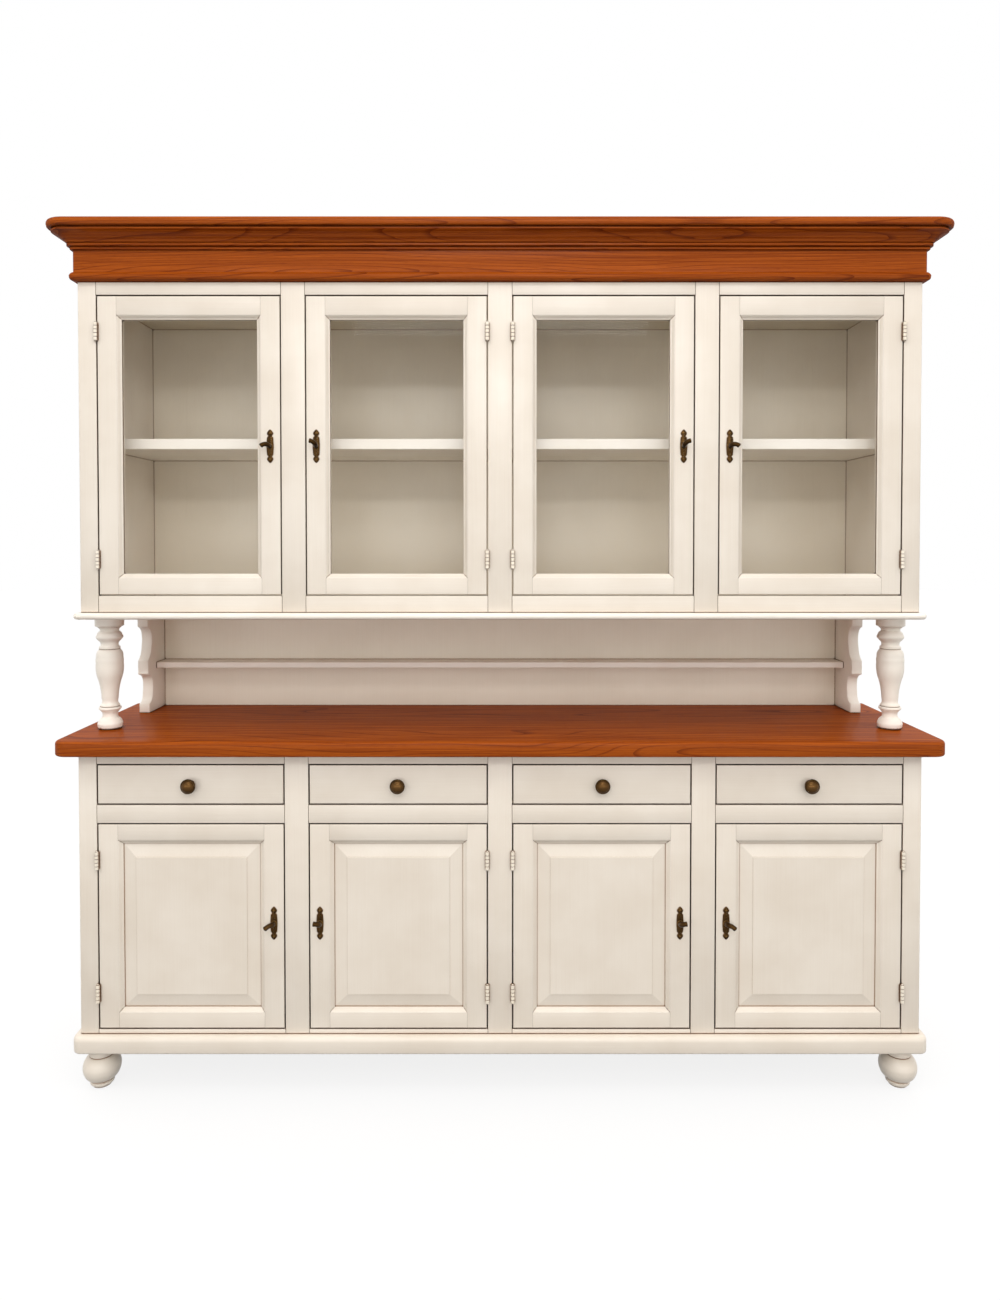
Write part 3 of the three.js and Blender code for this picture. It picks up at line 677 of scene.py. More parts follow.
# Lighter copies of the cream for turned work, shelves and the nosed board: painted light.
LIT_TURNED_PAINT = GlazedCreamPaint(Run.UPRIGHT, "turned_work_", "#F9F3E9", "#F2EADD").material()
LIT_SHELF_PAINT = GlazedCreamPaint(Run.ACROSS, "shelf_edge_", "#F9F3E9", "#F2EADD").material()
# Hinge paint: its brown reaches far round the knuckles and onto their flanks, which is painted shade on the
# barrel's sides.
HINGE_PAINT = GlazedCreamPaint(
    Run.UPRIGHT, "hinge_", "#F8F0E2", "#EFE4D0", glaze="#74491E", glaze_and_shade_reach=30.0,
    glaze_and_shade_span=(0.62, 0.94), painted_flank_shade=0.6).material()
# A darker copy of the cream for the hutch's top board: painted shade on its underside.
SHADED_CEILING_PAINT = GlazedCreamPaint(Run.ACROSS, "ceiling_", "#D6CBB6", "#CCC0A9").material()
# A yellower, slightly darker copy of the cream for the hutch's back: painted shade tint.
SHADE_TINTED_BACK_PAINT = GlazedCreamPaint(Run.UPRIGHT, "back_", "#ECE3D2", "#E5DBC9").material()
CHERRY = StainedCherry().material()
BEECH = SandedBeech().material()
BRONZE = CastMetal("antiqued_bronze", "#503A20", "#251709", "#8A693E").material()
# Bronze of the knobs' domed face, lighter than the rim's: partly polish, partly painted light.
KNOB_BRONZE = CastMetal("polished_antique_bronze", "#644829", "#422D14", "#6A4D2B", blotch=16.0).material()
GLASS = ClearGlass().material()
CREAM, STAINED, METAL = "cream_paint", "stained_cherry", "aged_bronze"


def node_box(node: str) -> tuple[Vector, Vector]:
    """The lowest and highest corner of a solid at rest, in millimetres."""
    low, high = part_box(node)
    return low / MM, high / MM


def coated(part: Piece, paint: Paint) -> Piece:
    """Gives a piece, or a part before it is joined, its finish."""
    part.data.materials.clear()
    part.data.materials.append(paint)
    return part


def seated(piece: Piece, body: str, paint: Paint | None, slot: str, *nodes: str) -> Piece:
    """Gives a piece its finish, hangs it on the body that carries it, and hides the solids that it stands for.

    Args:
        piece: The finished mesh.
        body: The body that it moves with.
        paint: Its material, or None where its parts have theirs.
        slot: The record's finish that it takes; not used.
        *nodes: The solids that it stands for.

    Returns:
        The same piece.
    """
    if paint:
        coated(piece, paint)
    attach(piece, body)
    if nodes:
        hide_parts(*nodes)
    LOG.info("%s rides on %s", piece.name, body)
    return piece


def finish_node(node: str, paint: Paint) -> None:
    """Gives a solid that stays in view its finish."""
    part = frame["nodes"][node]
    if not part.material_slots:
        part.data.materials.append(paint)
    for place in part.material_slots:
        place.material = paint


# Sub-assemblies

@dataclass
class DoorSet:
    """Left-hand doors of one row with their infill, hinges and furniture."""

    row: str
    infill: str
    infill_thickness: float
    stile: float
    top_rail: float
    bottom_rail: float
    hinge_from_end: float
    gap: float = 3.0
    thickness: float = 20.0
    moulding: float = 10.5
    moulding_depth: float = 8.0
    groove: float = 4.5
    fit: float = 0.3
    tongue: float = 4.2
    panel_bevel: float = 36.0
    joint_ease: float = 0.6
    outline_round: float = 2.2
    mitre_ease: float = 0.8
    mitre_gap: float = 0.35

    def outline(self, number: int) -> tuple[Vector, Vector]:
        """Works out a door's corners from its infill, which sits in the door's groove."""
        low, high = node_box(f"{self.row}_door_{number}_{self.infill}")
        rebate = self.moulding - self.groove + self.fit
        face = high.y - self.infill_thickness - self.fit - self.moulding_depth
        return (
            Vector((low.x - self.stile - rebate, face, low.z - self.bottom_rail - rebate)),
            Vector((high.x + self.stile + rebate, face + self.thickness, high.z + self.top_rail + rebate)))

    @staticmethod
    def facing(spot: Vector, way: Vector) -> bool:
        """Tells whether a spot lies straight out from the middle along one axis."""
        return spot.dot(way) > 0 and abs(spot.x * way.z) + abs(spot.z * way.x) < 1

    def sight(self, low: Vector, high: Vector) -> tuple[float, float, float, float]:
        """Left, right, bottom and top of the opening between a door's stiles and rails."""
        return low.x + self.stile, high.x - self.stile, low.z + self.bottom_rail, high.z - self.top_rail

    def moulding_ring(self, low: Vector, high: Vector) -> Piece:
        """Mitres the moulding that runs inside the stiles and rails."""
        left, right, bottom, top = self.sight(low, high)
        wide, deep = self.moulding, self.moulding_depth
        section = traced([
            (0.0, self.thickness), (0.0, 0.5), (0.04 * wide, 0.1), (0.08 * wide, 0.16 * deep),
            (0.36 * wide, 0.4 * deep, 0.1), (0.42 * wide, 0.44 * deep), (0.46 * wide, 0.5 * deep),
            (0.82 * wide, 0.84 * deep, -0.14), (0.86 * wide, 0.87 * deep), (0.98 * wide, 0.9 * deep),
            (wide, deep), (wide, self.thickness)], 3)
        across, up = (left + right) / 2, (bottom + top) / 2
        rings = [Ring((across, low.y + depth, up), right - left - 2 * inset, top - bottom - 2 * inset)
                 for inset, depth in section]
        moulding = lofted("moulding", rings, Lie.FRONT, endless=True)

        def on_mitre(spot: Vector, _: Vector) -> bool:
            """Tells whether an edge's middle lies in one of the four mitres."""
            inwards = min(spot.x - left, right - spot.x), min(spot.z - bottom, top - spot.z)
            return abs(inwards[0] - inwards[1]) < NEAR / 10

        with editing(moulding, "EDGE"):
            pick(moulding, "edges", on_mitre)
            bpy.ops.mesh.edge_split()
            select_all()
            bpy.ops.mesh.fill_holes(sides=0)
        middle = Vector((across, 0, up))
        for way in (Vector((-1, 0, 0)), Vector((1, 0, 0)), Vector((0, 0, -1)), Vector((0, 0, 1))):
            with editing(moulding):
                pick(moulding, "faces", lambda spot, normal, way=way: (
                    normal.dot(way) > ALONG and self.facing(spot - middle, way)))
                bpy.ops.mesh.select_linked()
                bpy.ops.transform.translate(value=way * self.mitre_gap * MM)
        return coated(eased(moulding, self.mitre_ease), LEVEL_PAINT)

    def joinery(self, number: int) -> Piece:
        """Joins stiles, rails and mitred moulding into one door frame."""
        low, high = self.outline(number)
        left, right, bottom, top = self.sight(low, high)

        def on_outline(spot: Vector, _: Vector) -> bool:
            """Tells whether an edge's middle lies on the outline of the door's face."""
            inward = (spot.x - low.x, high.x - spot.x, spot.z - low.z, high.z - spot.z)
            return abs(spot.y - low.y) < NEAR and min(inward) < NEAR

        members = [
            (low.x, left, low.z, high.z, UPRIGHT_PAINT), (right, high.x, low.z, high.z, UPRIGHT_PAINT),
            (left, right, low.z, bottom, LEVEL_PAINT), (left, right, top, high.z, LEVEL_PAINT)]
        parts = []
        for x0, x1, z0, z1, paint in members:
            blank = block("member", (x0, low.y, z0), (x1, high.y, z1))
            blank = rounded(blank, on_outline, self.outline_round, 4)
            parts.append(coated(eased(blank, self.joint_ease), paint))
        parts.append(self.moulding_ring(low, high))
        return smooth(assembled(f"{self.row}_door_{number}_joinery", parts))

    def raised_panel(self, number: int) -> Piece:
        """Cuts the raised panel, with its tongue, wide bevel and stepped field."""
        low, high = node_box(f"{self.row}_door_{number}_{self.infill}")
        field, back, bevel = low.y, high.y, self.panel_bevel
        front = back - self.tongue
        steps = [(0.0, back), (0.0, front), (self.groove, front), (bevel - 0.4, field + 1.7),
                 (bevel, field + 1.3), (bevel + 0.1, field + 0.4), (bevel + 0.6, field)]
        rings = [Ring(((low.x + high.x) / 2, depth, (low.z + high.z) / 2),
                      high.x - low.x - 2 * inset, high.z - low.z - 2 * inset) for inset, depth in steps]
        return lofted(f"{self.row}_door_{number}_raised_panel", rings, Lie.FRONT)


@dataclass
class Hinge:
    """A butt hinge of five knuckles whose halves pass one another."""

    length: float = 44.0
    knuckles: int = 5
    radius: float = 5.0
    pin: float = 1.8
    bore: float = 2.4
    tip: float = 2.4
    stand: float = 5.5
    leaf: float = 1.1
    leaf_sunk: float = 0.6
    leaf_ease: float = 0.15
    leaf_start: float = 3.2
    leaf_depth: float = 10.0
    end_ease: float = 0.9
    play: float = 0.3
    door_gap: float = 3.0
    sides: int = 20

    def leaf_plate(self, side: float, bottom: float, top: float) -> Piece:
        """Makes one tongue of a leaf, on the left of the gap where the side is -1."""
        inner, outer = side * (self.door_gap / 2 - self.leaf), side * (self.door_gap / 2 + self.leaf_sunk)
        return board("leaf", (min(inner, outer), self.leaf_start, bottom),
                     (max(inner, outer), self.stand + self.leaf_depth, top), self.leaf_ease)

    def knuckle(self, bottom: float, top: float) -> Piece:
        """Turns one knuckle with eased ends round the pin's bore."""
        low, high, inner = bottom + self.play / 2, top - self.play / 2, self.radius - self.end_ease
        outline = [(self.bore, low), (inner, low), (self.radius, bottom + self.end_ease),
                   (self.radius, top - self.end_ease), (inner, high), (self.bore, high), (self.bore, low)]
        return turned("knuckle", outline, self.sides)

    def half(self, side: float, door: bool) -> list[Piece]:
        """Makes the frame's half with pin and tips, or the door's half."""
        pitch = self.length / self.knuckles
        spans = [(step * pitch, (step + 1) * pitch) for step in range(self.knuckles) if step % 2 == door]
        parts = [part for bottom, top in spans for part in (
            self.knuckle(bottom, top), self.leaf_plate(-side if door else side, bottom + 0.2, top - 0.2))]
        if not door:
            wide, end = self.pin * 1.6, self.length
            outline = traced([
                (0.0, -self.tip), (wide, -self.tip * 0.4, 0.2), (self.pin, 0.0), (self.pin, end),
                (wide, end + self.tip * 0.4), (0.0, end + self.tip, 0.2)], 4)
            parts.append(turned("pin", outline, self.sides))
        return parts

    def places(self, doors: DoorSet, number: int) -> tuple[float, list[Vector]]:
        """The side that a door hangs on and the feet of its two pins."""
        low, high = doors.outline(number)
        side = -1.0 if number % 2 else 1.0
        axis = low.x - doors.gap / 2 if side < 0 else high.x + doors.gap / 2
        ends = (low.z - doors.gap + doors.hinge_from_end, high.z + doors.gap - doors.hinge_from_end)
        return side, [Vector((axis, low.y - self.stand, level - self.length / 2)) for level in ends]

    def door_half(self, doors: DoorSet, number: int) -> Piece:
        """Both hinges' halves on one door, as one piece."""
        side, feet = self.places(doors, number)
        lower = assembled(f"{doors.row}_door_{number}_hinges", self.half(side, door=True))
        upper = copied(lower, "upper", feet[1])
        return smooth(assembled(lower.name, [moved(lower, feet[0]), upper]))

    def frame_halves(self, doors: DoorSet) -> Piece:
        """The halves on the face frame for all four doors, as one piece."""
        parts = []
        for number in (1, 2):
            side, feet = self.places(doors, number)
            half = assembled("half", self.half(side, door=False))
            parts += [copied(half, "hinge", feet[1]), moved(half, feet[0])]
        left = assembled(f"{doors.row}_frame_hinges", parts)
        return smooth(assembled(left.name, [left, mirrored(left, "right")]))


@dataclass
class FaceFrame:
    """Full-height stiles and mullions with short rails between them."""

    row: str
    doors: DoorSet
    corner: float = 4.0
    thickness: float = 20.0
    joint_ease: float = 1.5
    joint_gap: float = 0.3

    def openings(self) -> list[tuple[float, float]]:
        """Left and right edges of the four openings."""
        gap, corners = self.doors.gap, [self.doors.outline(number) for number in range(1, 5)]
        return [(low.x - gap, high.x + gap) for low, high in corners]

    def rows(self) -> list[tuple[float, float]]:
        """Bottoms and tops of the openings, from the lowest row up."""
        low, high = self.doors.outline(1)
        rows = [(low.z - self.doors.gap, high.z + self.doors.gap)]
        if self.row == "base":
            drawer_low, drawer_high = node_box("drawer_1_box")
            rows.append((drawer_low.z - self.doors.gap, drawer_high.z + self.doors.gap))
        return rows

    def build(self) -> Piece:
        """Joins the frame out of its boards."""
        low, high = node_box(f"{self.row}_face_frame")
        face = self.doors.outline(1)[0].y
        back = face + self.thickness
        openings, rows = self.openings(), self.rows()
        edges = [low.x, *(edge for opening in openings for edge in opening), high.x]
        parts = []
        for left, right in zip(edges[::2], edges[1::2]):
            upright = block("upright", (left, face, low.z), (right, back, high.z))
            if outer := [x for x in (left, right) if x in (low.x, high.x)]:
                rounded(upright, lambda spot, run, x=outer[0]: (
                    abs(run.z) > ALONG and abs(spot.x - x) < NEAR and spot.y < face + 1), self.corner, 5)
            parts.append(coated(eased(upright, self.joint_ease), UPRIGHT_PAINT))
        levels, shy = [low.z, *(level for row in rows for level in row), high.z], self.joint_gap
        for bottom, top in zip(levels[::2], levels[1::2]):
            for left, right in openings:
                rail = board("rail", (left + shy, face, bottom), (right - shy, back, top), self.joint_ease)
                parts.append(coated(rail, LEVEL_PAINT))
        return smooth(assembled(f"{self.row}_face_frame_joinery", parts))


@dataclass
class Furniture:
    """Escutcheons, turning levers and knobs of antiqued bronze."""

    plate_height: float = 80.0
    plate_width: float = 17.0
    plate_thickness: float = 2.5
    spindle: float = 4.0
    door_thickness: float = 20.0
    boss_radius: float = 6.4
    boss_length: float = 6.0
    arm_reach: float = 14.0
    arm_stand: float = 31.6
    run_gap: float = 0.8
    cam_length: float = 36.0
    cam_width: float = 12.0
    cam_thickness: float = 3.0
    knob_radius: float = 18.0
    knob_stand: float = 29.0
    # Share of the radius inside which the knob's face takes the lighter bronze; the darker rim is partly
    # painted shade.
    knob_dome: float = 0.8
    arm_angles: tuple[float, float] = (180.0, 128.0)

    def escutcheon(self) -> Piece:
        """Casts the plate about its spindle's axis: domed, necked, with a pin at each finial."""
        shares = [
            (0.0, -1.0), (0.28, -0.96, 0.06), (0.78, -0.82, 0.04), (0.84, -0.75, 0.14), (0.46, -0.635, 0.12),
            (0.48, -0.6), (0.76, -0.55, -0.1), (0.86, -0.46, 0.1), (0.92, -0.26, 0.02), (0.98, 0.0, 0.02),
            (0.92, 0.26, 0.02), (0.86, 0.46, 0.02), (0.76, 0.55, 0.1), (0.48, 0.6, -0.1), (0.46, 0.635),
            (0.84, 0.75, 0.12), (0.78, 0.82, 0.14), (0.28, 0.96, 0.04), (0.0, 1.0, 0.06)]
        half = traced(scaled(shares, self.plate_width / 2, self.plate_height / 2), 4)
        outline = half + [(-x, z) for x, z in half[-2:0:-1]]
        plate = sawn("plate", [(x, 0.0, z) for x, z in outline], (0, -self.plate_thickness * 0.55, 0))
        with editing(plate):
            pick(plate, "faces", lambda _, normal: normal.y < -ALONG)
            bpy.ops.mesh.inset(thickness=1.4 * MM, depth=self.plate_thickness * 0.33 * MM)
            bpy.ops.mesh.inset(thickness=0.9 * MM, depth=self.plate_thickness * 0.12 * MM)
        collar = traced([(0.0, 0.0), (7.2, 0.0), (7.2, 2.0, 0.1), (6.4, 3.1, 0.1), (0.0, 3.1)], 3)
        pin = traced([(0.0, 0.0), (2.1, 0.0), (2.1, 1.6), (0.0, 3.2, 0.25)], 5)
        pins = [faced(turned("pin", pin, 12), share * self.plate_height / 2) for share in (-0.78, 0.78)]
        return smooth(assembled("escutcheon", [plate, faced(turned("collar", collar, 24)), *pins]), 50)

    def arm(self) -> Piece:
        """Casts the arm: a thick elbow over the boss that thins towards its hooked tip."""
        reach, stand = self.arm_reach, self.arm_stand
        route = [(0.0, 0.16, 0.0, 6.6), (0.0, 0.38, 1.0, 6.4), (0.1, 0.56, 2.6, 6.2), (0.4, 0.74, 3.0, 6.0),
                 (0.7, 0.86, 1.8, 5.8), (0.95, 0.92, -0.6, 6.0), (1.15, 0.93, -3.2, 7.0)]
        arm = chain("arm", [(out * reach, -forward * stand, -side) for out, forward, side, _ in route])
        focus(arm)
        bpy.ops.object.modifier_add(type="SKIN")
        for point, (*_, radius) in zip(arm.data.skin_vertices[0].data, route):
            point.radius = (radius * MM, radius * MM)
        bpy.ops.object.modifier_apply(modifier=arm.modifiers[-1].name)
        return modified(arm, "SUBSURF", levels=2)

    def lever(self, number: int) -> Piece:
        """Joins arm, boss, spindle and cam about the spindle's axis.

        Args:
            number: Which of the left-hand doors it serves, 1 or 2.

        Returns:
            The lever at the origin.
        """
        face = self.plate_thickness + self.run_gap
        back = self.door_thickness + self.run_gap + self.cam_thickness
        tip, wide = face + self.boss_length, self.boss_radius
        boss = traced([(0.0, face), (wide, face), (wide, face + 2.2, 0.12), (4.4, face + 4.2, -0.2),
                       (4.0, tip, 0.0), (0.0, tip)], 4)
        spindle = [(0.0, -back), (self.spindle - 0.4, -back), (self.spindle, 0.4 - back),
                   (self.spindle, face), (0.0, face)]
        cam = board("cam", (-self.cam_width / 2, back - self.cam_thickness, -self.cam_length),
                    (self.cam_width / 2, back, self.spindle))
        turn = Matrix.Rotation(-math.radians(self.arm_angles[number - 1]), 4, "Y")
        parts = [moved(self.arm(), (0, 0, 0), turn), faced(turned("boss", boss, 24)),
                 faced(turned("spindle", spindle, 16)), cam]
        return smooth(assembled("lever", parts), 50)

    def knob(self) -> Piece:
        """Turns a mushroom knob whose domed face sits inside a rim."""
        shares = [
            (0.0, 0.0), (0.6, 0.0), (0.6, 0.06, 0.1), (0.36, 0.15, -0.14), (0.36, 0.36, -0.06),
            (0.9, 0.54, -0.14), (1.0, 0.64, 0.16), (0.97, 0.7, 0.12), (0.86, 0.76, 0.1), (0.8, 0.755, -0.1),
            (0.72, 0.83, 0.12), (0.4, 0.96, 0.08), (0.0, 1.0, 0.05)]
        knob = turned("knob", traced(scaled(shares, self.knob_radius, self.knob_stand), 4), 40)
        knob.data.materials.append(KNOB_BRONZE)
        knob.data.materials.append(BRONZE)
        # The domed face takes the lighter bronze, the rim and sides the darker: partly polish, partly painted
        # shade round the dome.
        dome = self.knob_dome * self.knob_radius * MM
        for face in knob.data.polygons:
            face.material_index = int(face.center.xy.length > dome or face.normal.z < 0.1)
        return faced(knob)


@dataclass
class Drawers:
    """Four drawers: a painted front with a rounded edge on a bare wooden box."""

    front_thickness: float = 20.0
    front_round: float = 2.6
    wall: float = 12.0
    floor: float = 8.0
    box_inset: float = 4.0
    box_lift: float = 4.0
    box_height: float = 78.0
    back_drop: float = 4.0
    wall_ease: float = 1.0
    floor_ease: float = 0.4

    def front(self, number: int) -> Piece:
        """Planes a drawer front and rounds its face edges."""
        low, high = node_box(f"drawer_{number}_box")
        blank = block(f"drawer_{number}_front", low, (high.x, low.y + self.front_thickness, high.z))
        return smooth(rounded(blank, lambda spot, _: spot.y < low.y + 1, self.front_round, 4), 60)

    def box(self, number: int) -> Piece:
        """Joins a drawer's sides, back and floor."""
        low, high = node_box(f"drawer_{number}_box")
        left, right, back, wall = low.x + self.box_inset, high.x - self.box_inset, high.y, self.wall
        front, bottom = low.y + self.front_thickness, low.z + self.box_lift
        top = bottom + self.box_height
        walls = [((left, front, bottom), (left + wall, back, top)),
                 ((right - wall, front, bottom), (right, back, top)),
                 ((left + wall, back - wall, bottom), (right - wall, back, top - self.back_drop))]
        parts = [board("wall", start, end, self.wall_ease) for start, end in walls]
        parts.append(board("floor", (left + wall, front, bottom),
                           (right - wall, back - wall, bottom + self.floor), self.floor_ease))
        return assembled(f"drawer_{number}_case", parts)


@dataclass
class Carcass:
    """Plinth, feet, countertop, columns, brackets, shelves and boards that stand still."""

    foot_stations: Stations = (
        (0.0, 0.0), (0.48, 0.0), (0.51, 0.015, 0.2), (0.51, 0.05), (0.56, 0.056), (0.63, 0.09, 0.3),
        (0.59, 0.13, 0.25), (0.575, 0.145), (0.62, 0.162, -0.1), (0.78, 0.21, 0.02), (0.93, 0.31, 0.08),
        (1.0, 0.44, 0.06), (0.975, 0.55, 0.06), (0.86, 0.66, 0.06), (0.7, 0.735, 0.05), (0.62, 0.755),
        (0.64, 0.765), (0.67, 0.785, 0.3), (0.67, 0.82, 0.15), (0.64, 0.84), (0.64, 1.0), (0.0, 1.0))
    column_stations: Stations = (
        (0.0, 0.0), (0.72, 0.0), (0.77, 0.006, 0.2), (0.855, 0.03, 0.14), (0.83, 0.06, 0.12), (0.6, 0.095, 0.1),
        (0.53, 0.115, -0.1), (0.6, 0.152, -0.1), (0.74, 0.172, 0.03), (0.77, 0.186, 0.25), (0.71, 0.195, 0.2),
        (0.64, 0.197), (0.67, 0.207, 0.3), (0.63, 0.216, 0.2), (0.55, 0.238, -0.1), (0.58, 0.27, -0.04),
        (0.78, 0.43, -0.03), (0.945, 0.588, 0.06), (0.925, 0.635, 0.06), (0.74, 0.705, 0.12), (0.69, 0.71),
        (0.73, 0.722, 0.35), (0.68, 0.733, 0.2), (0.61, 0.747, -0.1), (0.66, 0.772, -0.06), (0.92, 0.807, 0.02),
        (0.88, 0.832, 0.16), (0.67, 0.868, 0.12), (0.69, 0.888, -0.15), (0.8, 0.899, -0.12), (0.8, 0.906),
        (0.97, 0.914, 0.05), (1.0, 0.924, 0.2), (1.0, 1.0), (0.0, 1.0))
    bracket_stations: Stations = (
        (0.0, 0.0), (-0.93, 0.0), (-0.93, 0.085), (-0.74, 0.19, 0.2), (-0.72, 0.265, 0.04), (-0.93, 0.368, 0.2),
        (-0.975, 0.376), (-0.985, 0.4, -0.15), (-0.985, 0.51, -0.02), (-0.79, 0.64, 0.13), (-0.77, 0.735, 0.06),
        (-0.985, 0.835, 0.18), (-1.0, 0.85), (-1.0, 1.0), (0.0, 1.0))
    plinth_corner: float = 24.0
    plinth_arris: float = 12.0
    counter_corner: float = 35.0
    counter_arris: float = 8.0
    under_arris: float = 5.0
    plinth_wall: float = 95.0
    plinth_hollow: float = 24.0
    plinth_under: float = 6.0
    nose_corner: float = 16.0
    nose_flat: float = 0.2
    bracket_ease: float = 1.2
    shelf_ease: float = 1.6

    def slab(self, node: str, name: str, corner: float, arris: float, under: float,
             hollow: float = 0.0) -> Piece:
        """Rounds a board's front corners in plan, then its upper and lower edges but the back ones.

        Args:
            node: The solid that gives its size and place.
            name: Name of the piece.
            corner: Radius of the front corners.
            arris: Radius of the upper edge.
            under: Radius of the lower edge.
            hollow: Depth of the recess in its underside, as in a plinth of rails.

        Returns:
            The slab.
        """
        low, high = node_box(node)

        def on_outline(spot: Vector) -> bool:
            """Tells whether a spot lies on the slab's front, its sides or their rounded corners."""
            across, deep = abs(spot.x) - high.x + corner, low.y + corner - spot.y
            on_arc = min(across, deep) > 0 and math.hypot(across, deep) > ALONG * corner
            return max(across, deep) > corner - NEAR or on_arc

        def on_rim(spot: Vector, level: float) -> bool:
            """Tells whether a spot lies at a level and not on the slab's back."""
            return abs(spot.z - level) < NEAR and spot.y < high.y - NEAR

        slab = block(name, low, high)
        if hollow:
            with editing(slab):
                pick(slab, "faces", lambda _, normal: normal.z < -ALONG)
                bpy.ops.mesh.inset(thickness=self.plinth_wall * MM)
                bpy.ops.mesh.extrude_region_move(TRANSFORM_OT_translate={"value": (0, 0, hollow * MM)})
        rounded(slab, lambda spot, run: abs(run.z) > ALONG and spot.y < low.y + 1, corner, 10)
        rounded(slab, lambda spot, _: on_rim(spot, high.z), arris, 5)
        rounded(slab, lambda spot, _: on_rim(spot, low.z) and on_outline(spot), under, 4)
        return smooth(slab, 50)

    def turning(self, node: str, stations: Stations, sides: int) -> Piece:
        """Turns a foot or a column to the height and radius of its solid."""
        low, high = node_box(node)
        outline = traced(scaled(stations, (high.x - low.x) / 2, high.z - low.z), 5)
        middle = ((low.x + high.x) / 2, (low.y + high.y) / 2, low.z)
        return moved(turned(f"{node}_turned", outline, sides), middle)

    def bracket(self) -> Piece:
        """Saws the left bracket: hollow, lobe, hollow and foot under a square lip."""
        low, high = node_box("bracket_left")
        stations = scaled(self.bracket_stations, high.y - low.y, high.z - low.z)
        outline = [(low.x, high.y + across, low.z + up) for across, up in traced(stations, 8)]
        bracket = sawn("bracket_left_scrolled", outline, (high.x - low.x, 0, 0))
        return smooth(eased(bracket, self.bracket_ease))

    def shelf(self, node: str) -> Piece:
        """Planes a shelf with a softened front edge."""
        return board(f"{node}_board", *node_box(node), self.shelf_ease)


@dataclass
class Cornice:
    """Bead, frieze, fillets, cove and a rounded top slab, mitred round three sides."""

    side: float = 1013.0
    reach: float = 61.0
    corner_share: float = 0.75
    least_corner: float = 3.0
    stations: Stations = (
        (3.0, 0.0), (12.0, 2.2, 0.06), (16.0, 9.5, 0.16), (14.6, 15.6, 0.14), (8.0, 20.6, 0.12), (7.5, 22.4),
        (7.5, 72.4), (12.8, 72.9), (13.8, 76.6, 0.2), (12.8, 79.4, 0.2), (17.6, 79.9), (20.3, 83.4, 0.3),
        (18.6, 87.0, 0.25), (21.5, 88.2), (30.0, 96.0, -0.1), (51.0, 109.0, -0.08), (51.4, 111.6),
        (48.6, 112.4), (48.6, 115.6), (55.0, 115.8), (59.8, 120.4, 0.18), (60.3, 126.4, 0.06),
        (54.0, 135.2, 0.17), (42.0, 138.0, 0.07))

    def build(self) -> Piece:
        """Lofts the mouldings from the bottom bead to the top."""
        low, high = node_box("cornice")
        front = low.y + self.reach
        rings = []
        for reach, level in traced(self.stations, 5):
            depth = high.y - (front - reach)
            middle = (0.0, high.y - depth / 2, low.z + level)
            corner = max(self.corner_share * reach, self.least_corner)
            rings.append(Ring(middle, 2 * (self.side + reach), depth, corner))
        return smooth(lofted("cornice_moulded", rings, Lie.PLAN), 30)


# Stage

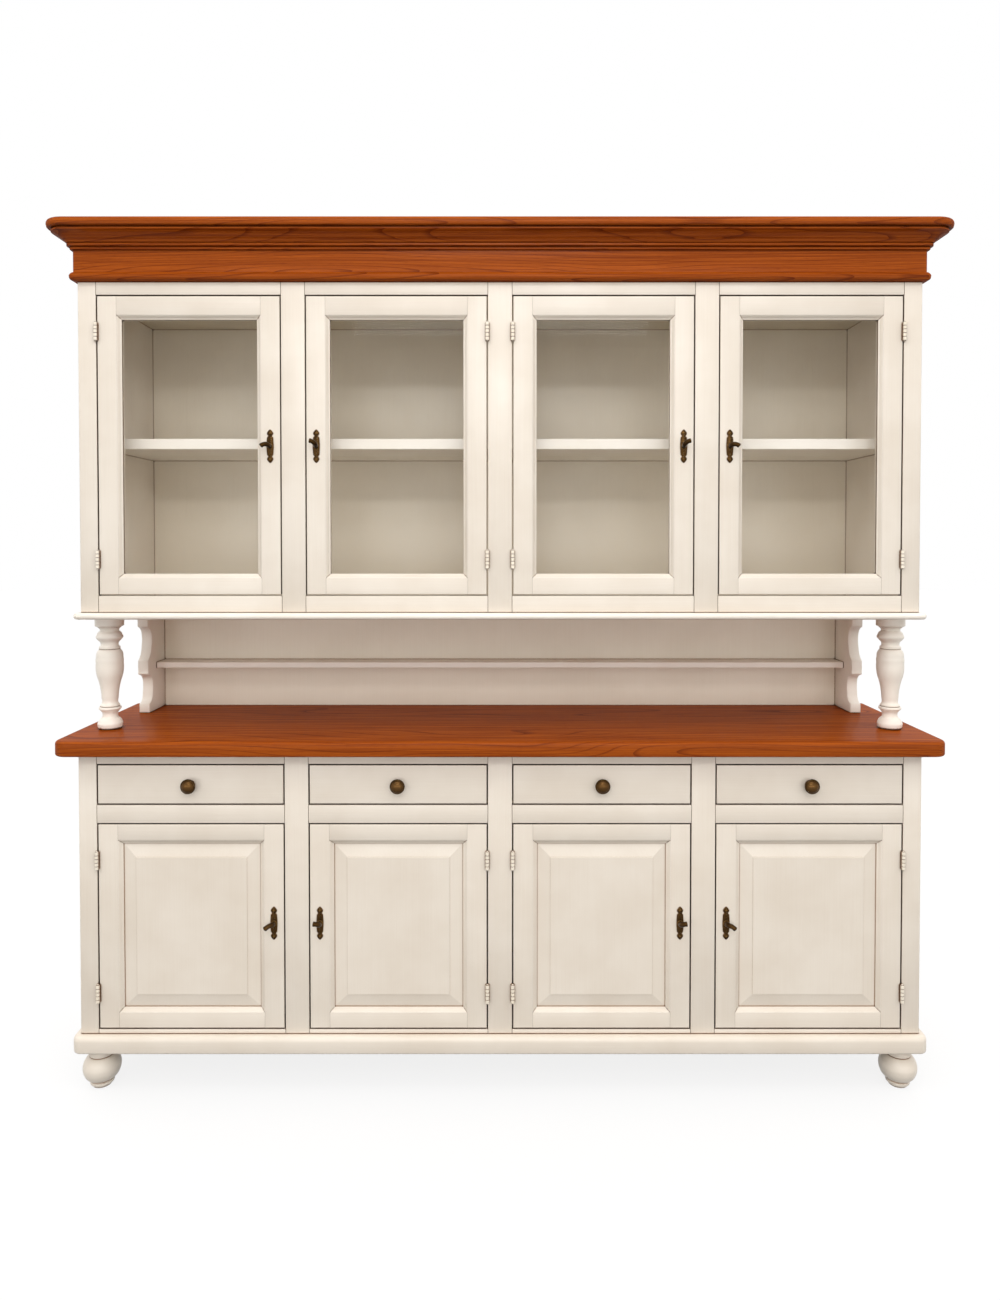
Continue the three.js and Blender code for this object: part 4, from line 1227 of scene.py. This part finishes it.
@dataclass
class Studio:
    """White floor and surroundings, soft boxes in front and above, and the photograph's camera."""

    focal_pixels: float = 870.08
    image_height: float = 1300.0
    principal_row: float = 557.48
    camera_place: tuple[float, float, float] = (0.0, -2279.8, 1336.5)
    pitch: float = 1.2017
    sensor: float = 36.0
    low_fill: float = 0.91
    high_fill: float = 1.45
    floor_glow: float = 0.82
    floor_size: float = 40.0
    white: str = "#FFFFFF"
    daylight: str = "#FAF7F4"
    floor_seen: str = "#F6F6F6"
    floor_to_object: str = "#5E5C5A"

    def camera(self) -> None:
        """Stands the camera where the photograph was taken."""
        data = bpy.data.cameras.new("photograph")
        data.sensor_width = self.sensor
        data.lens = self.focal_pixels * self.sensor / self.image_height
        data.shift_y = (self.principal_row - self.image_height / 2) / self.image_height
        camera = bpy.data.objects.new("photograph", data)
        camera.location = Vector(self.camera_place) * MM
        camera.rotation_euler = (math.radians(90 - self.pitch), 0, 0)
        bpy.context.collection.objects.link(camera)
        bpy.context.scene.camera = camera

    def lamp(self, name: str, place: Point, target: Point, size: Point, watts: float) -> None:
        """Hangs a soft box that faces a target, all in millimetres."""
        data = bpy.data.lights.new(name, "AREA")
        data.shape, data.energy = "RECTANGLE", watts
        data.size, data.size_y = (side * MM for side in size)
        lamp = bpy.data.objects.new(name, data)
        lamp.location = Vector(place) * MM
        lamp.rotation_euler = (Vector(target) - Vector(place)).to_track_quat("-Z", "Y").to_euler()
        bpy.context.collection.objects.link(lamp)

    def seen_directly(self, tree: Tree) -> Socket:
        """One for camera, glossy and transmission rays, and zero for light on the object."""
        rays = add_node(tree, "LightPath").outputs
        seen = computed(tree, "MAXIMUM", rays["Is Camera Ray"], rays["Is Glossy Ray"])
        return computed(tree, "MAXIMUM", seen, rays["Is Transmission Ray"])

    def surroundings(self) -> None:
        """Lights the object evenly from all round and shows white behind it."""
        world = bpy.data.worlds.new("studio")
        bpy.context.scene.world = world
        world.use_nodes = True
        tree = world.node_tree
        tree.nodes.clear()
        way = add_node(tree, "TexCoord").outputs["Generated"]
        height = add_node(tree, "SeparateXYZ", {0: way}).outputs["Z"]
        level = ranged(tree, height, (0.0, 1.0, self.low_fill, self.high_fill))
        fill = add_node(tree, "Background", {"Color": linear(self.daylight), "Strength": level})
        white = add_node(tree, "Background", {"Color": linear(self.white), "Strength": 1.0})
        mix = add_node(tree, "MixShader", {
            0: self.seen_directly(tree), 1: fill.outputs[0], 2: white.outputs[0]})
        add_node(tree, "OutputWorld", {"Surface": mix.outputs[0]})

    def floor(self) -> None:
        """Lays a white floor that keeps the object's soft shadow."""
        floor = started("floor", self.floor_size)
        material, tree = blank_material("white_studio_floor")
        seen = self.seen_directly(tree)
        bare = add_node(tree, "BsdfDiffuse", {
            "Color": blended(tree, seen, linear(self.floor_to_object), linear(self.floor_seen))})
        glow = add_node(tree, "Emission", {"Color": linear(self.white), "Strength": 1.0})
        lift = add_node(tree, "MixShader", {
            0: computed(tree, "MULTIPLY", seen, self.floor_glow), 1: bare.outputs[0], 2: glow.outputs[0]})
        add_node(tree, "OutputMaterial", {"Surface": lift.outputs[0]})
        floor.data.materials.append(material)

    def build(self) -> None:
        """Sets up the whole stage."""
        bpy.context.scene.view_settings.view_transform = "Standard"
        self.camera()
        self.surroundings()
        self.floor()
        self.lamp("key", (0, -4500, 3400), (0, 0, 900), (1800, 500), 12)
        self.lamp("strip", (0, -2500, 2430), (0, 0, 1200), (1500, 120), 7.7)
        self.lamp("low_front", (0, -4500, 950), (0, 0, 700), (9000, 1000), 58)
        self.lamp("overhead", (0, -1300, 2900), (0, -200, 500), (2600, 400), 7.5)


def lever_place(row: str, number: int) -> Vector:
    """The point on a lever's axis at its door's face, in millimetres."""
    wanted = f"{row}_door_{number}_lever_turn"
    joint = next(j for j in frame["record"]["behaviour"]["joints"] if j["name"] == wanted)
    return Vector(joint["pos_m"]) / MM


@dataclass
class Dresser:
    """The whole object, put together from its sub-assemblies."""

    base_doors: DoorSet
    hutch_doors: DoorSet
    hinge: Hinge
    furniture: Furniture
    drawers: Drawers
    carcass: Carcass
    cornice: Cornice

    def settle(self, kind: str, carrier: str, number: int, made: Iterable[Made]) -> None:
        """Mirrors pieces of a left-hand door or drawer to the right, and seats both.

        Args:
            kind: What the pieces and their nodes are named after, as base_door.
            carrier: What the bodies that carry them are named after.
            number: The left-hand place, 1 or 2.
            made: Name, piece, finish, slot and node of each, without kind and place.
        """
        for name, piece, finish, slot, node in made:
            twin = 5 - number
            other = mirrored(piece, f"{kind}_{twin}_{name}")
            for part, place in ((piece, number), (other, twin)):
                seated(part, f"{carrier}_{place}", finish, slot, f"{kind}_{place}_{node}")

    def doors(self, doors: DoorSet, plate: Piece, levers: Sequence[Piece]) -> None:
        """Builds the two left doors of a row, and mirrors each to the right."""
        kind = f"{doors.row}_door"
        for number in (1, 2):
            name, axis = f"{kind}_{number}", lever_place(doors.row, number)
            made = [
                ("joinery", doors.joinery(number), None, CREAM, "frame"),
                ("hinges", self.hinge.door_half(doors, number), HINGE_PAINT, CREAM, "frame"),
                ("escutcheon", copied(plate, f"{name}_escutcheon", axis), BRONZE, METAL, "frame")]
            if doors.infill == "panel":
                made.append(("raised_panel", doors.raised_panel(number), UPRIGHT_PAINT, CREAM, "panel"))
            self.settle(kind, kind, number, made)
            lever = copied(levers[number - 1], f"{name}_turning_lever", axis)
            self.settle(kind, f"{doors.row}_lever", number, [("turning_lever", lever, BRONZE, METAL, "lever")])

    def build_drawers(self) -> None:
        """Builds the two left drawers with their knobs, and mirrors each to the right."""
        knob = self.furniture.knob()
        for number in (1, 2):
            low, high = node_box(f"drawer_{number}_box")
            middle = ((low.x + high.x) / 2, low.y, (low.z + high.z) / 2)
            self.settle("drawer", "drawer", number, [
                ("front", self.drawers.front(number), LEVEL_PAINT, CREAM, "box"),
                ("case", self.drawers.box(number), BEECH, "inner_wood", "box"),
                ("pull", copied(knob, f"drawer_{number}_pull", middle), None, METAL, "knob")])
        bpy.data.objects.remove(knob)

    def build_slabs(self) -> None:
        """Builds the countertop, the plinth, the nosed board and the cornice."""
        c = self.carcass
        low, high = node_box("hutch_bottom_board")
        nose = (high.z - low.z) / 2 - c.nose_flat
        for node, name, finish, slot, *sizes in (
                ("countertop", "countertop_slab", CHERRY, STAINED,
                 c.counter_corner, c.counter_arris, c.under_arris),
                ("base_plinth", "plinth_moulded", LEVEL_PAINT, CREAM,
                 c.plinth_corner, c.plinth_arris, c.plinth_under, c.plinth_hollow),
                ("hutch_bottom_board", "nosed_board", LIT_SHELF_PAINT, CREAM, c.nose_corner, nose, nose)):
            seated(c.slab(node, name, *sizes), "root", finish, slot, node)
        seated(self.cornice.build(), "root", CHERRY, STAINED, "cornice")

    def build_still(self) -> None:
        """Builds what else stands still and finishes the plain boards."""
        c = self.carcass
        foot = c.turning("foot_front_left", c.foot_stations, 48)
        rear_shift = node_box("foot_rear_left")[0].y - node_box("foot_front_left")[0].y
        rear = copied(foot, "foot_rear_left_turned", (0, rear_shift, 0))
        column = c.turning("column_left", c.column_stations, 56)
        for piece, paint in ((foot, UPRIGHT_PAINT), (rear, UPRIGHT_PAINT), (column, LIT_TURNED_PAINT),
                             (c.bracket(), LIT_TURNED_PAINT)):
            node, style = piece.name.rsplit("_left_")
            other = mirrored(piece, f"{node}_right_{style}")
            seated(piece, "root", paint, CREAM, f"{node}_left")
            seated(other, "root", paint, CREAM, f"{node}_right")
        for node in ("niche_shelf", "hutch_shelf_left", "hutch_shelf_right"):
            seated(c.shelf(node), "root", LIT_SHELF_PAINT, CREAM, node)
        for doors in (self.base_doors, self.hutch_doors):
            node = f"{doors.row}_face_frame"
            seated(FaceFrame(doors.row, doors).build(), "root", None, CREAM, node)
            seated(self.hinge.frame_halves(doors), "root", HINGE_PAINT, CREAM, node)
        for paint, nodes in (
                (UPRIGHT_PAINT, ("base_side_left", "base_side_right", "hutch_side_left", "hutch_side_right",
                                 "hutch_partition")),
                (SHADED_CEILING_PAINT, ("hutch_top_board",)), (SHADE_TINTED_BACK_PAINT, ("hutch_back_panel",)),
                (BEECH, ("base_partition_left", "base_partition_center", "base_partition_right",
                         "base_back_panel")),
                (GLASS, [f"hutch_door_{number}_pane" for number in range(1, 5)])):
            for node in nodes:
                finish_node(node, paint)

    def build(self) -> None:
        """Builds every piece."""
        self.build_slabs()
        self.build_still()
        self.build_drawers()
        plate = self.furniture.escutcheon()
        levers = [self.furniture.lever(number) for number in (1, 2)]
        self.doors(self.base_doors, plate, levers)
        self.doors(self.hutch_doors, plate, levers)
        for pattern in (plate, *levers):
            bpy.data.objects.remove(pattern)


def main() -> None:
    """Sets the stage and builds the dresser."""
    logging.basicConfig(level=logging.INFO, format="%(message)s")
    Studio().build()
    Dresser(
        base_doors=DoorSet(
            "base", "panel", 6.0, stile=47.0, top_rail=38.0, bottom_rail=38.0, hinge_from_end=89.0),
        hutch_doors=DoorSet(
            "hutch", "pane", 4.0, stile=46.0, top_rail=45.0, bottom_rail=40.0, hinge_from_end=88.0),
        hinge=Hinge(), furniture=Furniture(), drawers=Drawers(), carcass=Carcass(),
        cornice=Cornice()).build()


if __name__ == "__main__":
    main()
